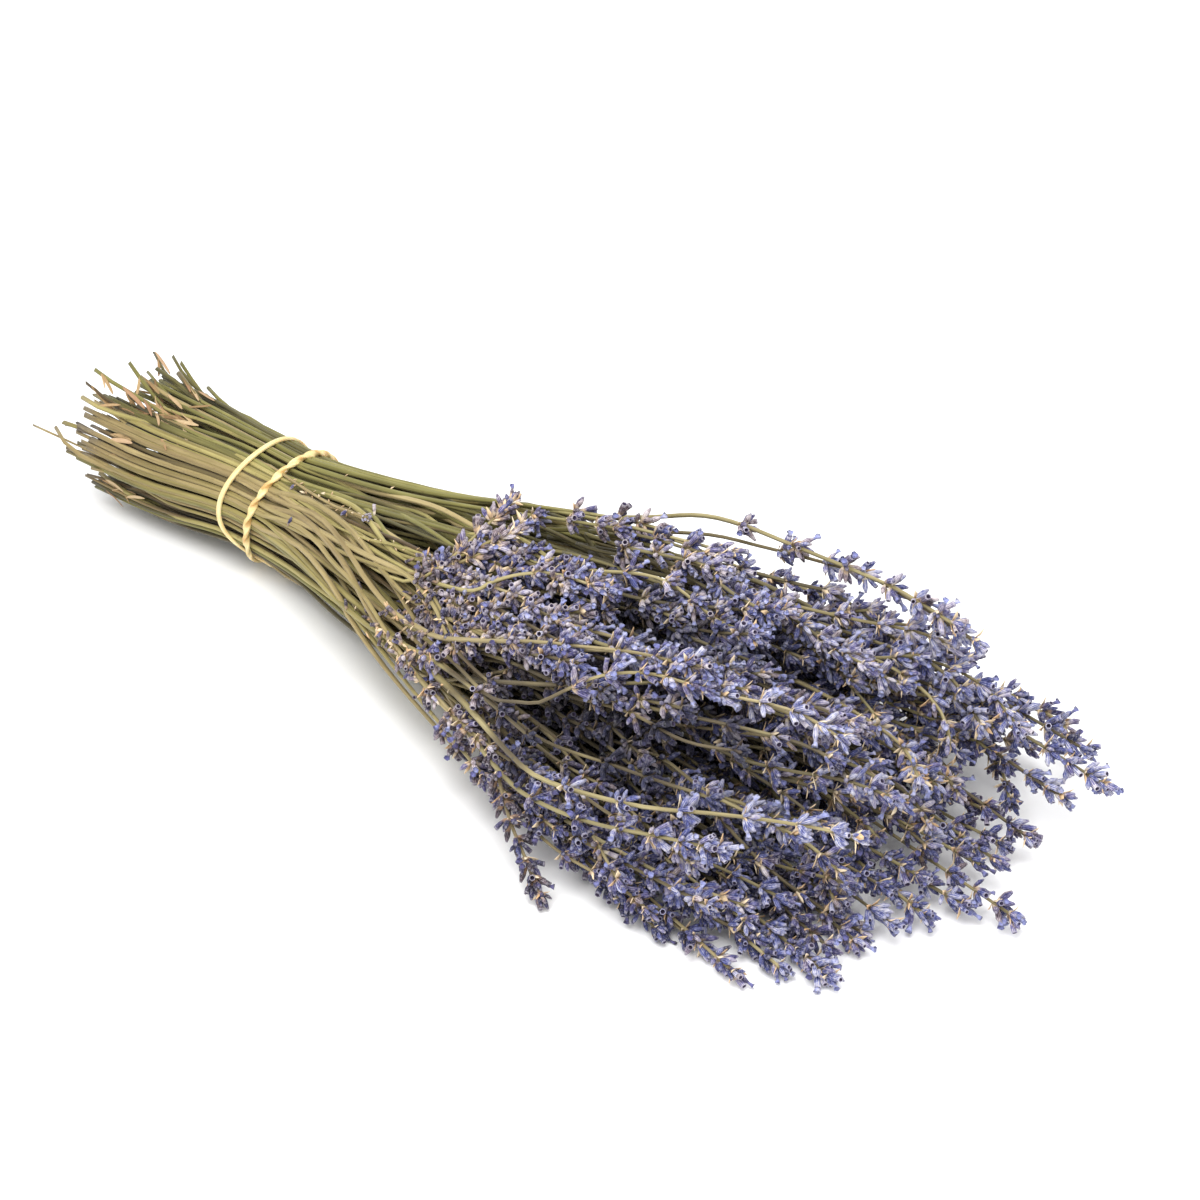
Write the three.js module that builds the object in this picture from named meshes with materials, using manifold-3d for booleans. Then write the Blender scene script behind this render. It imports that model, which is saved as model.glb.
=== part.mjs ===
// A bunch of dried lavender lying on its side, held by one rubber band wrapped twice round the stems.
// Millimetres, +Z up, +X from the cut ends to the flower tips. The stalks lie in locks: each lock is a
// sheaf of stems that press together under the band, and the spikes of flowers that the sheaf carries.
import * as THREE from 'three';
import Module from 'manifold-3d';
import { mergeVertices } from 'three/addons/utils/BufferGeometryUtils.js';

// Cross-sections of the whole bunch, each a squashed disc whose sides droop. x is the distance from
// the middle of the band, y and z are the middle of the disc, and z = 0 is near the table.
const SECTIONS = [
  { x: -110, y: 0, z: 28, halfWidth: 35, halfHeight: 27, droop: 3 },
  { x: -50, y: 0, z: 28, halfWidth: 31, halfHeight: 27, droop: 2 },
  { x: -15, y: 0, z: 29.5, halfWidth: 25.5, halfHeight: 25.5, droop: 0 },
  { x: 15, y: 0, z: 29.5, halfWidth: 25.5, halfHeight: 25.5, droop: 0 },
  { x: 55, y: 0, z: 33, halfWidth: 35, halfHeight: 27, droop: 3 },
  { x: 105, y: 0, z: 38, halfWidth: 49, halfHeight: 32, droop: 7 },
  { x: 165, y: 1, z: 41, halfWidth: 66, halfHeight: 38, droop: 14 },
  { x: 220, y: 0, z: 42, halfWidth: 80, halfHeight: 41, droop: 20 },
  { x: 270, y: 4, z: 42, halfWidth: 90, halfHeight: 41, droop: 23 },
  { x: 315, y: 12, z: 38, halfWidth: 96, halfHeight: 36, droop: 20 },
  { x: 350, y: 4, z: 31, halfWidth: 68, halfHeight: 28, droop: 14 },
  { x: 377, y: 10, z: 25, halfWidth: 38, halfHeight: 17, droop: 6 },
];

// Locks stand in three rings in the disc. Radii are fractions of the disc's own radius.
const RINGS = [
  { locks: 3, radius: 0.188, turn: 30 },
  { locks: 9, radius: 0.513, turn: 10 },
  { locks: 16, radius: 0.838, turn: 4 },
];
const LOCK_RADIUS = 0.158;

// Stems: nearly square in section, one in the middle of its lock and four round it. The band presses
// them together, and they bend only at the stops along x. The middle stem's edges bite into the others.
const STEM_THICKNESS = 2.5;
const MIDDLE_STEM_THICKNESS = 1.8;
const MIDDLE_STEM_TURN = Math.PI / 4;
const STEM_PITCH = 2.7;
const STEMS_ROUND_MIDDLE = 4;
const STEM_STOPS = [-50, -15, 15, 105];
const WAIST_RADIUS = 25.5;
const WAIST_HALF_LENGTH = 15;
const WAIST_SQUEEZE = 0.81;
const SHORTEST_CUT_END = -84;
const RAGGED_CUT = 24;

// Flower spikes: the flowers of a lock start and stop at slightly different distances from the band.
const FLOWERS_START = 122;
const FLOWERS_STAGGER = 36;
const OUTER_TIP = 352;
const INNER_TIP = 386;
const TIP_STAGGER = 16;
const STEM_TO_FLOWER_GAP = 0.9;
const WHORLS = 6;
const WHORL_WAIST = 0.82;
const SPIKE_SIDES = 6;

// Rubber band: one closed loop, wrapped twice, whose turns cross low on the near side. The middle
// between its turns is a little nearer the cut ends than the waist, and sways as it goes round.
const BAND_THICKNESS = 2.4;
const BAND_CLEARANCE = 0.45;
const TURN_OFFSET = 9.5;
const BAND_SHIFT = -2.5;
const BAND_SWAY = 3.5;
const SWAY_ANGLE = THREE.MathUtils.degToRad(100);
const CROSSING_ANGLE = THREE.MathUtils.degToRad(226);
const CROSSING_SHARPNESS = 4;
const CROSSING_WIDTH = 0.3;
const BAND_STEPS = 64;
const BAND_SIDES = 6;

const GOLDEN_FRACTION = 0.618034;

const wasm = await Module();
wasm.setup();

const bunch = new THREE.Group();

function finish(colour, roughness) {
  return new THREE.MeshStandardMaterial({ color: colour, roughness, metalness: 0 });
}

const stemFinish = finish(0x8c7f52, 0.8);
const flowerFinish = finish(0x6c689a, 0.9);
const rubberFinish = finish(0xf4e6b8, 0.55);

// An even scatter between 0 and 1 that is the same on every run.
function scatter(index) {
  return (index * GOLDEN_FRACTION) % 1;
}

// Slope of one measure of the sections at a station, from its two neighbours.
function slope(index, measure) {
  const before = SECTIONS[Math.max(index - 1, 0)];
  const after = SECTIONS[Math.min(index + 1, SECTIONS.length - 1)];
  return (after[measure] - before[measure]) / (after.x - before.x);
}

// The bunch's section at x: a smooth curve through each measure of the stations.
function sectionAt(x) {
  let index = 0;
  while (index < SECTIONS.length - 2 && x > SECTIONS[index + 1].x) {
    index += 1;
  }
  const from = SECTIONS[index];
  const to = SECTIONS[index + 1];
  const span = to.x - from.x;
  const t = (x - from.x) / span;
  const section = {};
  for (const measure of ['y', 'z', 'halfWidth', 'halfHeight', 'droop']) {
    const startPull = (t ** 3 - 2 * t ** 2 + t) * span * slope(index, measure);
    const endPull = (t ** 3 - t ** 2) * span * slope(index + 1, measure);
    const ease = 3 * t ** 2 - 2 * t ** 3;
    section[measure] = from[measure] * (1 - ease) + to[measure] * ease + startPull + endPull;
  }
  return section;
}

// The point at x whose place in the bunch is (u, v) in the unit disc. Every stalk keeps its own
// (u, v) along the bunch, so stalks never pass through each other.
function placeInBunch(x, u, v, target = new THREE.Vector3()) {
  const section = sectionAt(x);
  const y = section.y + u * section.halfWidth;
  const z = section.z + v * section.halfHeight - section.droop * u * u;
  return target.set(x, y, z);
}

// A stem's course from its cut end, straight between the stops that it shares with its neighbours, to
// its flowers. Its place in the lock is reach from the lock's middle, in the direction of angle.
class StemCourse extends THREE.Curve {
  constructor(lock, reach, angle, cutEnd, flowerEnd) {
    super();
    this.points = [cutEnd, ...STEM_STOPS, flowerEnd].map((x) => {
      const aside = Math.abs(x) <= WAIST_HALF_LENGTH ? reach * WAIST_SQUEEZE : reach;
      return placeInBunch(x, lock.u + aside * Math.cos(angle), lock.v + aside * Math.sin(angle));
    });
  }

  getPoint(t, target = new THREE.Vector3()) {
    const along = t * (this.points.length - 1);
    const index = Math.min(Math.floor(along), this.points.length - 2);
    return target.lerpVectors(this.points[index], this.points[index + 1], along - index);
  }

  getUtoTmapping(u) {
    return u;
  }

  // The section is carried without turning: its first axis stays level, across the bunch.
  computeFrenetFrames(segments) {
    const frames = { tangents: [], normals: [], binormals: [] };
    for (let stop = 0; stop <= segments; stop += 1) {
      const tangent = this.getTangentAt(stop / segments);
      const across = new THREE.Vector3(0, 1, 0).addScaledVector(tangent, -tangent.y).normalize();
      frames.tangents.push(tangent);
      frames.normals.push(across);
      frames.binormals.push(new THREE.Vector3().crossVectors(tangent, across));
    }
    return frames;
  }
}

// The rubber band's course: two turns that part on top and cross at one place, one over the other.
class BandCourse extends THREE.Curve {
  getPoint(t, target = new THREE.Vector3()) {
    const turn = t * 4 * Math.PI;
    const side = Math.cos(turn / 2);
    const angle = turn + CROSSING_ANGLE - Math.PI;
    const spread = Math.tanh(CROSSING_SHARPNESS * side) / Math.tanh(CROSSING_SHARPNESS);
    const over = Math.sin(turn / 2) > 0 ? Math.exp(-((side / CROSSING_WIDTH) ** 2)) : 0;
    const lift = BAND_CLEARANCE + BAND_THICKNESS / 2 + over * (BAND_THICKNESS + BAND_CLEARANCE);
    const reach = 1 + lift / WAIST_RADIUS;
    const middle = BAND_SHIFT + BAND_SWAY * Math.cos(2 * (angle - SWAY_ANGLE));
    const x = middle + TURN_OFFSET * spread;
    return placeInBunch(x, reach * Math.cos(angle), reach * Math.sin(angle), target);
  }
}

function closedGeometry(geometry) {
  geometry.deleteAttribute('normal');
  geometry.deleteAttribute('uv');
  return mergeVertices(geometry, 1e-4);
}

function toSolid(geometry) {
  const closed = closedGeometry(geometry);
  const vertProperties = new Float32Array(closed.attributes.position.array);
  const triVerts = new Uint32Array(closed.index.array);
  return new wasm.Manifold(new wasm.Mesh({ numProp: 3, vertProperties, triVerts }));
}

function toGeometry(solid) {
  const mesh = solid.getMesh();
  const geometry = new THREE.BufferGeometry();
  geometry.setAttribute('position', new THREE.BufferAttribute(mesh.vertProperties, 3));
  geometry.setIndex(new THREE.BufferAttribute(mesh.triVerts, 1));
  return geometry;
}

function addPiece(name, geometry, material) {
  geometry.computeVertexNormals();
  const piece = new THREE.Mesh(geometry, material);
  piece.name = name;
  bunch.add(piece);
}

// A stem's section: a square that turns one face in the direction of angle.
function stemSection(thickness, angle) {
  const corners = [0, 1, 2, 3].map((corner) => {
    const cornerAngle = angle + ((corner + 0.5) * Math.PI) / 2;
    const reach = thickness / Math.SQRT2;
    return new THREE.Vector2(reach * Math.cos(cornerAngle), reach * Math.sin(cornerAngle));
  });
  return new THREE.Shape(corners);
}

// A lock's sheaf of stems: a middle stem, and round it stems that press into it under the band.
function sheafOfStems(lock) {
  let sheaf = null;
  for (let stem = 0; stem <= STEMS_ROUND_MIDDLE; stem += 1) {
    const isMiddle = stem === 0;
    const thickness = isMiddle ? MIDDLE_STEM_THICKNESS : STEM_THICKNESS;
    const reach = isMiddle ? 0 : STEM_PITCH / WAIST_RADIUS;
    const angle = lock.angle + (stem * 2 * Math.PI) / STEMS_ROUND_MIDDLE;
    const cutEnd = SHORTEST_CUT_END - RAGGED_CUT * scatter(lock.index * 5 + stem + 1);
    const extrudePath = new StemCourse(lock, reach, angle, cutEnd, lock.flowersStart - STEM_TO_FLOWER_GAP);
    const steps = extrudePath.points.length - 1;
    const section = stemSection(thickness, isMiddle ? angle + MIDDLE_STEM_TURN : angle);
    const solid = toSolid(new THREE.ExtrudeGeometry(section, { steps, extrudePath }));
    sheaf = sheaf ? sheaf.add(solid) : solid;
  }
  return toGeometry(sheaf);
}

// A lock's flowers: a whorled ear, turned about an axis and then bent along the lock's own course.
function earOfFlowers(lock) {
  const outline = [new THREE.Vector2(0, 0), new THREE.Vector2(LOCK_RADIUS * 0.7, 0)];
  for (let whorl = 0; whorl < WHORLS; whorl += 1) {
    const taper = 1 - 0.25 * (whorl / WHORLS) ** 2;
    outline.push(new THREE.Vector2(LOCK_RADIUS * taper, (whorl + 0.45) / WHORLS));
    if (whorl < WHORLS - 1) {
      outline.push(new THREE.Vector2(LOCK_RADIUS * taper * WHORL_WAIST, (whorl + 0.95) / WHORLS));
    }
  }
  outline.push(new THREE.Vector2(0, 1));
  const ear = closedGeometry(new THREE.LatheGeometry(outline, SPIKE_SIDES, lock.angle));
  const position = ear.attributes.position;
  const point = new THREE.Vector3();
  for (let index = 0; index < position.count; index += 1) {
    point.fromBufferAttribute(position, index);
    const x = THREE.MathUtils.lerp(lock.flowersStart, lock.tip, point.y);
    placeInBunch(x, lock.u + point.z, lock.v + point.x, point);
    position.setXYZ(index, point.x, point.y, point.z);
  }
  return ear;
}

let lockIndex = 0;
for (const ring of RINGS) {
  for (let place = 0; place < ring.locks; place += 1) {
    const angle = THREE.MathUtils.degToRad(ring.turn) + (place * 2 * Math.PI) / ring.locks;
    const outward = ring.radius / RINGS[RINGS.length - 1].radius;
    const lock = {
      index: lockIndex,
      angle,
      u: ring.radius * Math.cos(angle),
      v: ring.radius * Math.sin(angle),
      flowersStart: FLOWERS_START + FLOWERS_STAGGER * scatter(lockIndex + 1),
      tip: THREE.MathUtils.lerp(INNER_TIP, OUTER_TIP, outward) - TIP_STAGGER * scatter(lockIndex * 3 + 2),
    };
    const label = String(lockIndex + 1).padStart(2, '0');
    addPiece(`stems_${label}`, sheafOfStems(lock), stemFinish);
    addPiece(`flower_spikes_${label}`, earOfFlowers(lock), flowerFinish);
    lockIndex += 1;
  }
}

const band = new THREE.TubeGeometry(new BandCourse(), BAND_STEPS, BAND_THICKNESS / 2, BAND_SIDES, true);
addPiece('elastic_band', closedGeometry(band), rubberFinish);

// The origin is under the middle of the bunch's box, on the surface that it lies on.
const box = new THREE.Box3().setFromObject(bunch);
const middle = box.getCenter(new THREE.Vector3());
bunch.position.set(-middle.x, -middle.y, -box.min.z);

export default bunch;
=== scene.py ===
"""A bunch of dried lavender, held by one rubber band, lying on a pale table."""
from math import cos, pi, radians, sin, tau

import bpy
import numpy as np
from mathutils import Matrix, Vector


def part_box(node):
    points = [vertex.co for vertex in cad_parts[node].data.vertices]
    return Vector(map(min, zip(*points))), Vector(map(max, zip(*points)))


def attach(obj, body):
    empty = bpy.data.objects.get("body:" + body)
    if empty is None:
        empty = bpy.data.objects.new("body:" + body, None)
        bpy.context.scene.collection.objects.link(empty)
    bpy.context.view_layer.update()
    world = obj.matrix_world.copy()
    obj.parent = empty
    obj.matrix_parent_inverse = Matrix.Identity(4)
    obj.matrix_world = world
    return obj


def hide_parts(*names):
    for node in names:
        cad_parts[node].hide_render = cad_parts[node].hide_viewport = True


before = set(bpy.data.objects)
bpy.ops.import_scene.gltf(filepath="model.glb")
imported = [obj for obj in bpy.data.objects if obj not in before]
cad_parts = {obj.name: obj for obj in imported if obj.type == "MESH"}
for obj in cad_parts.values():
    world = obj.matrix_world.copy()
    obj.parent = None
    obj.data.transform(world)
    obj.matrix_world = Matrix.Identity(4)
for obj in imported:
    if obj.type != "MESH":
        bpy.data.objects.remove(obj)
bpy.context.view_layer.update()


# ---------------------------------------------------------------------------------------------
# The table, the light and the camera. A wide pale table under a big soft lamp, seen from the
# flower end, a little from above. Places in the bunch are in mm, counted from where the middle of
# the band stands over the table: x along the bunch to the flower tips, y across it, z up.
MM = 0.001
BAND_TOP = Vector((-2.48, 0.05, 57.65)) * MM
band_low, band_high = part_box("elastic_band")
BUNCH = Vector(((band_low.x + band_high.x) / 2, (band_low.y + band_high.y) / 2, band_high.z)) - BAND_TOP

TABLE_SIZE = 9.0
SKY_STRENGTH = 1.08
LAMP_PLACE = Vector((0.40, -0.50, 1.25))
LAMP_AIM = Vector((0.05, 0, 0))
LAMP_SIZE = 1.0
LAMP_POWER = 20
VIEW_TURN = radians(46)
VIEW_RISE = radians(31)
VIEW_DISTANCE = 1.15
VIEW_AIM = Vector((0.144, 0, 0.040))
LENS = 90
SENSOR = 36
# The photograph's width, and how far the camera turns aside and up from its aim, in pixels.
PHOTO_WIDTH = 1200
VIEW_ASIDE = 67
VIEW_UP = 8


def dye(red, green, blue):
    """A colour given as it looks on a screen, 0 to 255."""
    shown = np.array([red, green, blue]) / 255
    light = np.where(shown <= 0.04045, shown / 12.92, ((shown + 0.055) / 1.055) ** 2.4)
    return (*light.tolist(), 1.0)


class Shade:
    """A value, colour or direction in a finish. Sums with it add the nodes that work them out."""

    def __init__(self, finish, socket):
        self.finish = finish
        self.socket = socket

    def __add__(self, other):
        return self.finish.maths("ADD", self, other)

    def __radd__(self, other):
        return self.finish.maths("ADD", other, self)

    def __sub__(self, other):
        return self.finish.maths("SUBTRACT", self, other)

    def __rsub__(self, other):
        return self.finish.maths("SUBTRACT", other, self)

    def __mul__(self, other):
        return self.finish.maths("MULTIPLY", self, other)

    def clipped(self):
        return self.finish.add("ShaderNodeClamp", {}, {0: self})


class Finish:
    """One surface finish: its nodes, and the surface that they end in."""

    def __init__(self, name, **surface):
        self.material = bpy.data.materials.new(name)
        self.material.use_nodes = True
        self.tree = self.material.node_tree
        self.surface = self.tree.nodes["Principled BSDF"]
        for socket, value in surface.items():
            self.surface.inputs[socket.replace("_", " ")].default_value = value

    def add(self, kind, settings, sockets, output=0):
        node = self.tree.nodes.new(kind)
        for setting, value in settings.items():
            if setting == "stops":
                ramp = node.color_ramp
                while len(ramp.elements) < len(value):
                    ramp.elements.new(0.5)
                for element, (place, colour) in zip(ramp.elements, value):
                    element.position = place
                    element.color = colour
            else:
                setattr(node, setting, value)
        for socket, value in sockets.items():
            if isinstance(value, Shade):
                self.tree.links.new(value.socket, node.inputs[socket])
            else:
                node.inputs[socket].default_value = value
        return Shade(self, node.outputs[output])

    def maths(self, operation, first, second=0.0):
        return self.add("ShaderNodeMath", {"operation": operation}, {0: first, 1: second})

    def carried(self, name):
        """The three numbers that each point of the mesh carries under a name, as one vector."""
        return self.add("ShaderNodeAttribute", {"attribute_name": name}, {}, "Vector")

    def looks(self):
        """The three numbers that make one copy of a shape look unlike the next; for stems and flowers they
        also carry painted shade.
        """
        return self.parts(self.carried("look"))

    def cloud(self, place, scale, detail=3.0, seed=None):
        sockets = {"Vector": place, "Scale": scale, "Detail": detail, "Roughness": 0.55}
        if seed is None:
            return self.add("ShaderNodeTexNoise", {"noise_dimensions": "3D"}, sockets)
        return self.add("ShaderNodeTexNoise", {"noise_dimensions": "4D"}, {**sockets, "W": seed})

    def streaks(self, place, scales, detail, seed=None):
        """A cloud with its own scale along each axis."""
        place = self.add("ShaderNodeVectorMath", {"operation": "MULTIPLY"}, {0: place, 1: scales})
        return self.cloud(place, 1.0, detail, seed)

    def parts(self, vector):
        """The three numbers of a place or direction."""
        return [self.add("ShaderNodeSeparateXYZ", {}, {0: vector}, part) for part in range(3)]

    def dyed(self, amount, *stops):
        """The colour at an amount between 0 and 1, along stops of amount, red, green and blue."""
        stops = [(place, dye(*colour)) for place, *colour in stops]
        return self.add("ShaderNodeValToRGB", {"stops": stops}, {0: amount})

    def mixed(self, amount, first, second):
        return self.add("ShaderNodeMix", {"data_type": "RGBA"}, {0: amount, 6: first, 7: second}, 2)

    def bumped(self, height, depth, strength=1.0):
        return self.add("ShaderNodeBump", {}, {"Height": height, "Distance": depth, "Strength": strength})

    def feed(self, **sockets):
        for socket, value in sockets.items():
            self.tree.links.new(value.socket, self.surface.inputs[socket.replace("_", " ")])
        return self.material


def select_none():
    bpy.ops.object.select_all(action="DESELECT")


select_none()
bpy.ops.mesh.primitive_plane_add(size=TABLE_SIZE)
table = bpy.context.object
table.name = "table_top"
table_finish = Finish("pale_table", Roughness=0.7)
grain = table_finish.cloud(table_finish.add("ShaderNodeTexCoord", {}, {}, "Object"), 60.0)
paint = table_finish.dyed(grain, (0.3, 249, 249, 249), (0.7, 252, 252, 252))
table.data.materials.append(table_finish.feed(Base_Color=paint))

world = bpy.data.worlds.new("studio")
world.use_nodes = True
world.node_tree.nodes["Background"].inputs["Color"].default_value = (1.0, 1.0, 1.0, 1)
world.node_tree.nodes["Background"].inputs["Strength"].default_value = SKY_STRENGTH
bpy.context.scene.world = world
bpy.context.scene.view_settings.view_transform = "Standard"

bpy.ops.object.light_add(type="AREA", location=LAMP_PLACE)
lamp = bpy.context.object
lamp.name = "overhead_lamp"
lamp.data.size = LAMP_SIZE
lamp.data.energy = LAMP_POWER
lamp.rotation_mode = "QUATERNION"
lamp.rotation_quaternion = (LAMP_AIM - LAMP_PLACE).to_track_quat("-Z", "Y")

back = Vector((sin(VIEW_TURN) * cos(VIEW_RISE), -cos(VIEW_TURN) * cos(VIEW_RISE), sin(VIEW_RISE)))
right = Vector((cos(VIEW_TURN), sin(VIEW_TURN), 0))
up = back.cross(right)
bpy.ops.object.camera_add(location=BUNCH + VIEW_AIM + back * VIEW_DISTANCE)
camera = bpy.context.object
camera.data.lens = LENS
camera.data.sensor_width = SENSOR
camera.data.clip_start = 0.01
camera.data.clip_end = 100
camera.rotation_mode = "QUATERNION"
photo_lens = LENS / SENSOR * PHOTO_WIDTH
ahead = -back + VIEW_ASIDE / photo_lens * right + VIEW_UP / photo_lens * up
camera.rotation_quaternion = ahead.to_track_quat("-Z", "Y")
bpy.context.scene.camera = camera


# ---------------------------------------------------------------------------------------------
# The stalks' courses. Some three hundred and forty thin dry stalks run the whole length of the
# bunch. The band squeezes them into a round sheaf, and from there they fan out, wander and bend.

# The bunch's cross sections are discs: x, middle y and z, half width, half height and droop.
SECTIONS = np.array([
    (-110, 0, 28, 35, 27, 3),
    (-50, 0, 28, 31, 27, 2),
    (-15, 0, 29.5, 25.5, 25.5, 0),
    (15, 0, 29.5, 25.5, 25.5, 0),
    (55, 0, 33, 35, 27, 3),
    (105, 0, 38, 49, 32, 7),
    (165, 1, 41, 66, 38, 14),
    (220, 0, 42, 80, 41, 20),
    (270, 4, 42, 90, 41, 23),
    (315, 12, 38, 96, 36, 20),
    (350, 4, 31, 68, 28, 14),
    (377, 10, 25, 38, 17, 6),
], float)
# The locks of neighbouring stalks lie in rings: how many, how far out in the disc, and first angle.
RINGS = ((3, 0.188, 30), (9, 0.513, 10), (16, 0.838, 4))
FLOWERS_START = 122
FLOWERS_STAGGER = 36
GOLDEN_FRACTION = 0.618034
GOLDEN_ANGLE = 2.399963

STALKS = 268
COURSE_STEP = 3.0
# How far out in the disc the outermost stalks are under the band, and where its press begins.
WAIST_REACH = 0.955
OUTER_RING = 0.85
PRESS = 0.85
WAIST_JITTER = 0.012
# How much the stalks keep of their place in the disc at the flowers, and how far they drift there.
HEAD_SPREAD = (0.97, 0.86)
WANDERERS = 0.18
DRIFT = 0.085
WANDERERS_DRIFT = 0.20
FARTHEST_TIP = 1.15
# Middle x of the cut ends, how much shorter the near side is cut, and how ragged they are.
CUT = -89
NEAR_CUT = (14, 6)
RAGGED = 4.2
SHORT_CUTS = 0.18
GATHER = 0.60
BENT_LENGTH = 85
FLARE_START = 62
# The least heights over the table of a stalk's middle, and of any flower.
TABLE_REST = 1.9
LEAST_HEIGHT = 0.85

chance = np.random.default_rng(20)


def unit(vectors):
    return vectors / np.linalg.norm(vectors, axis=-1, keepdims=True)


def smooth_step(value, low, high):
    t = np.clip((value - low) / (high - low), 0, 1)
    return t * t * (3 - 2 * t)


def measures(x):
    """Middle y and z, half width, half height and droop of the bunch at x, in mm."""
    index = np.clip(np.searchsorted(SECTIONS[:, 0], x) - 1, 0, len(SECTIONS) - 2)
    before = np.maximum(np.arange(len(SECTIONS)) - 1, 0)
    after = np.minimum(np.arange(len(SECTIONS)) + 1, len(SECTIONS) - 1)
    span = (SECTIONS[after, 0] - SECTIONS[before, 0])[:, None]
    slope = (SECTIONS[after, 1:] - SECTIONS[before, 1:]) / span
    reach = (SECTIONS[index + 1, 0] - SECTIONS[index, 0])[:, None]
    t = (x - SECTIONS[index, 0])[:, None] / reach
    ease = 3 * t ** 2 - 2 * t ** 3
    course = SECTIONS[index, 1:] * (1 - ease) + SECTIONS[index + 1, 1:] * ease
    course += (t ** 3 - 2 * t ** 2 + t) * reach * slope[index]
    return course + (t ** 3 - t ** 2) * reach * slope[index + 1]


def place_in_bunch(x, u, v):
    """The points at x whose place in the section's disc is (u, v), in mm from the band's middle."""
    x = np.atleast_1d(np.asarray(x, float))
    y, z, half_width, half_height, droop = measures(x).T
    return np.stack([x, y + u * half_width, z + v * half_height - droop * u * u], axis=1)


def places_in_discs(points):
    """The places u and v in their sections' discs of points in mm."""
    y, z, half_width, half_height, droop = measures(points[:, 0]).T
    u = (points[:, 1] - y) / half_width
    return u, (points[:, 2] - z + droop * u * u) / half_height


def place_in_disc(point):
    u, v = places_in_discs(point[None])
    return u[0], v[0]


def above_table(z, rest):
    """Heights eased so that none is lower than rest."""
    eased = rest + 2 * rest * np.exp((np.minimum(z, 3 * rest) / rest - 3) / 2)
    return np.where(z > 3 * rest, z, eased)


locks = []
for count, radius, turn in RINGS:
    for place in range(count):
        angle = radians(turn) + place * tau / count
        start = FLOWERS_START + FLOWERS_STAGGER * ((len(locks) + 1) * GOLDEN_FRACTION % 1)
        locks.append((radius * cos(angle), radius * sin(angle), start))
locks = np.array(locks)


class Course:
    """A stalk's middle line, with its directions, told by the length along it.

    flowering is the length of its spike, where that is known. A bare spike has lost its flowers, and
    a dense one has its whorls close together.
    """

    def __init__(self, points, flowering=None, bare=False, thin=False, dense=False):
        points[:, 2] = above_table(points[:, 2], TABLE_REST)
        self.points = points
        self.flowering, self.bare, self.thin, self.dense = flowering, bare, thin, dense
        steps = np.linalg.norm(np.diff(points, axis=0), axis=1)
        self.along = np.concatenate([[0], np.cumsum(steps)])
        self.length = self.along[-1]
        self.forward = unit(np.gradient(points, self.along, axis=0))
        self.stem_lock = self.lock_at(20)
        self.flower_lock = self.lock_at(min(200, points[:, 0].max() - 20))

    def lock_at(self, x):
        """The lock whose place in the bunch is nearest to the stalk's at x."""
        u, v = self.disc_place(x)
        return int(np.argmin((locks[:, 0] - u) ** 2 + (locks[:, 1] - v) ** 2))

    def disc_place(self, x):
        return place_in_disc(self.at(self.where_x(x))[0][0])

    def at(self, along):
        """Points, and three directions for each: forward, level across, and the third."""
        along = np.atleast_1d(along)
        point = np.stack([np.interp(along, self.along, c) for c in self.points.T], axis=1)
        forward = unit(np.stack([np.interp(along, self.along, c) for c in self.forward.T], axis=1))
        across = unit(np.array([0.0, 1.0, 0.0]) - forward * forward[:, 1:2])
        return point, forward, across, np.cross(forward, across)

    def where_x(self, x):
        """The length along the stalk at which it first gets to x."""
        past = np.nonzero(self.points[:, 0] >= x)[0]
        return float(self.along[past[0]]) if len(past) else self.length


# Cut ends gather in tufts, and the bunch is cut a little slantwise.
TUFTS = np.array([(-0.50, 0.68), (-0.84, 0.20), (-0.72, -0.52), (0.05, 0.82), (0.10, -0.45), (0.65, 0.45),
                  (0.75, -0.20), (-0.25, 0.10), (-0.10, -0.80)])
# How far the stalks of the near side swing round the bunch: x, and the angle in degrees.
SWING = np.array([(-20, 2), (8, 6), (24, 0), (44, -6), (58, -6), (80, 1), (100, 8), (122, 12), (140, 10),
                  (160, 2), (180, -6), (200, -12), (230, -18), (270, -25), (310, -32), (350, -37)])


def cut_end(u, v):
    near_edge = smooth_step(-u, 0.0, 0.9)
    slant = CUT - NEAR_CUT[0] * near_edge * smooth_step(v, -0.6, 0.2) - NEAR_CUT[1] * near_edge
    return slant + (chance.uniform(8, 26) if chance.random() < SHORT_CUTS else chance.normal(0, RAGGED))


def tip_end(u, v, reach):
    """The x that a stalk goes to: the outer ones of the near side and the far side stop first."""
    if reach < 0.66:
        return chance.uniform(232, 338)
    if u > 0.1:
        return chance.uniform(216, 304 if v > 0.1 else 334)
    return chance.uniform(172, 322)


def wandering(x, size):
    """A slow sideways wander that starts at the band."""
    ramp = np.clip((np.abs(x) - 16) / 90, 0, 1) ** 1.2
    wander = np.zeros_like(x)
    for wave in (190, 110, 62):
        wander += chance.normal(0, size * wave / 190) * np.sin(tau * x / wave + chance.uniform(0, tau))
    return wander * ramp


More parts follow.
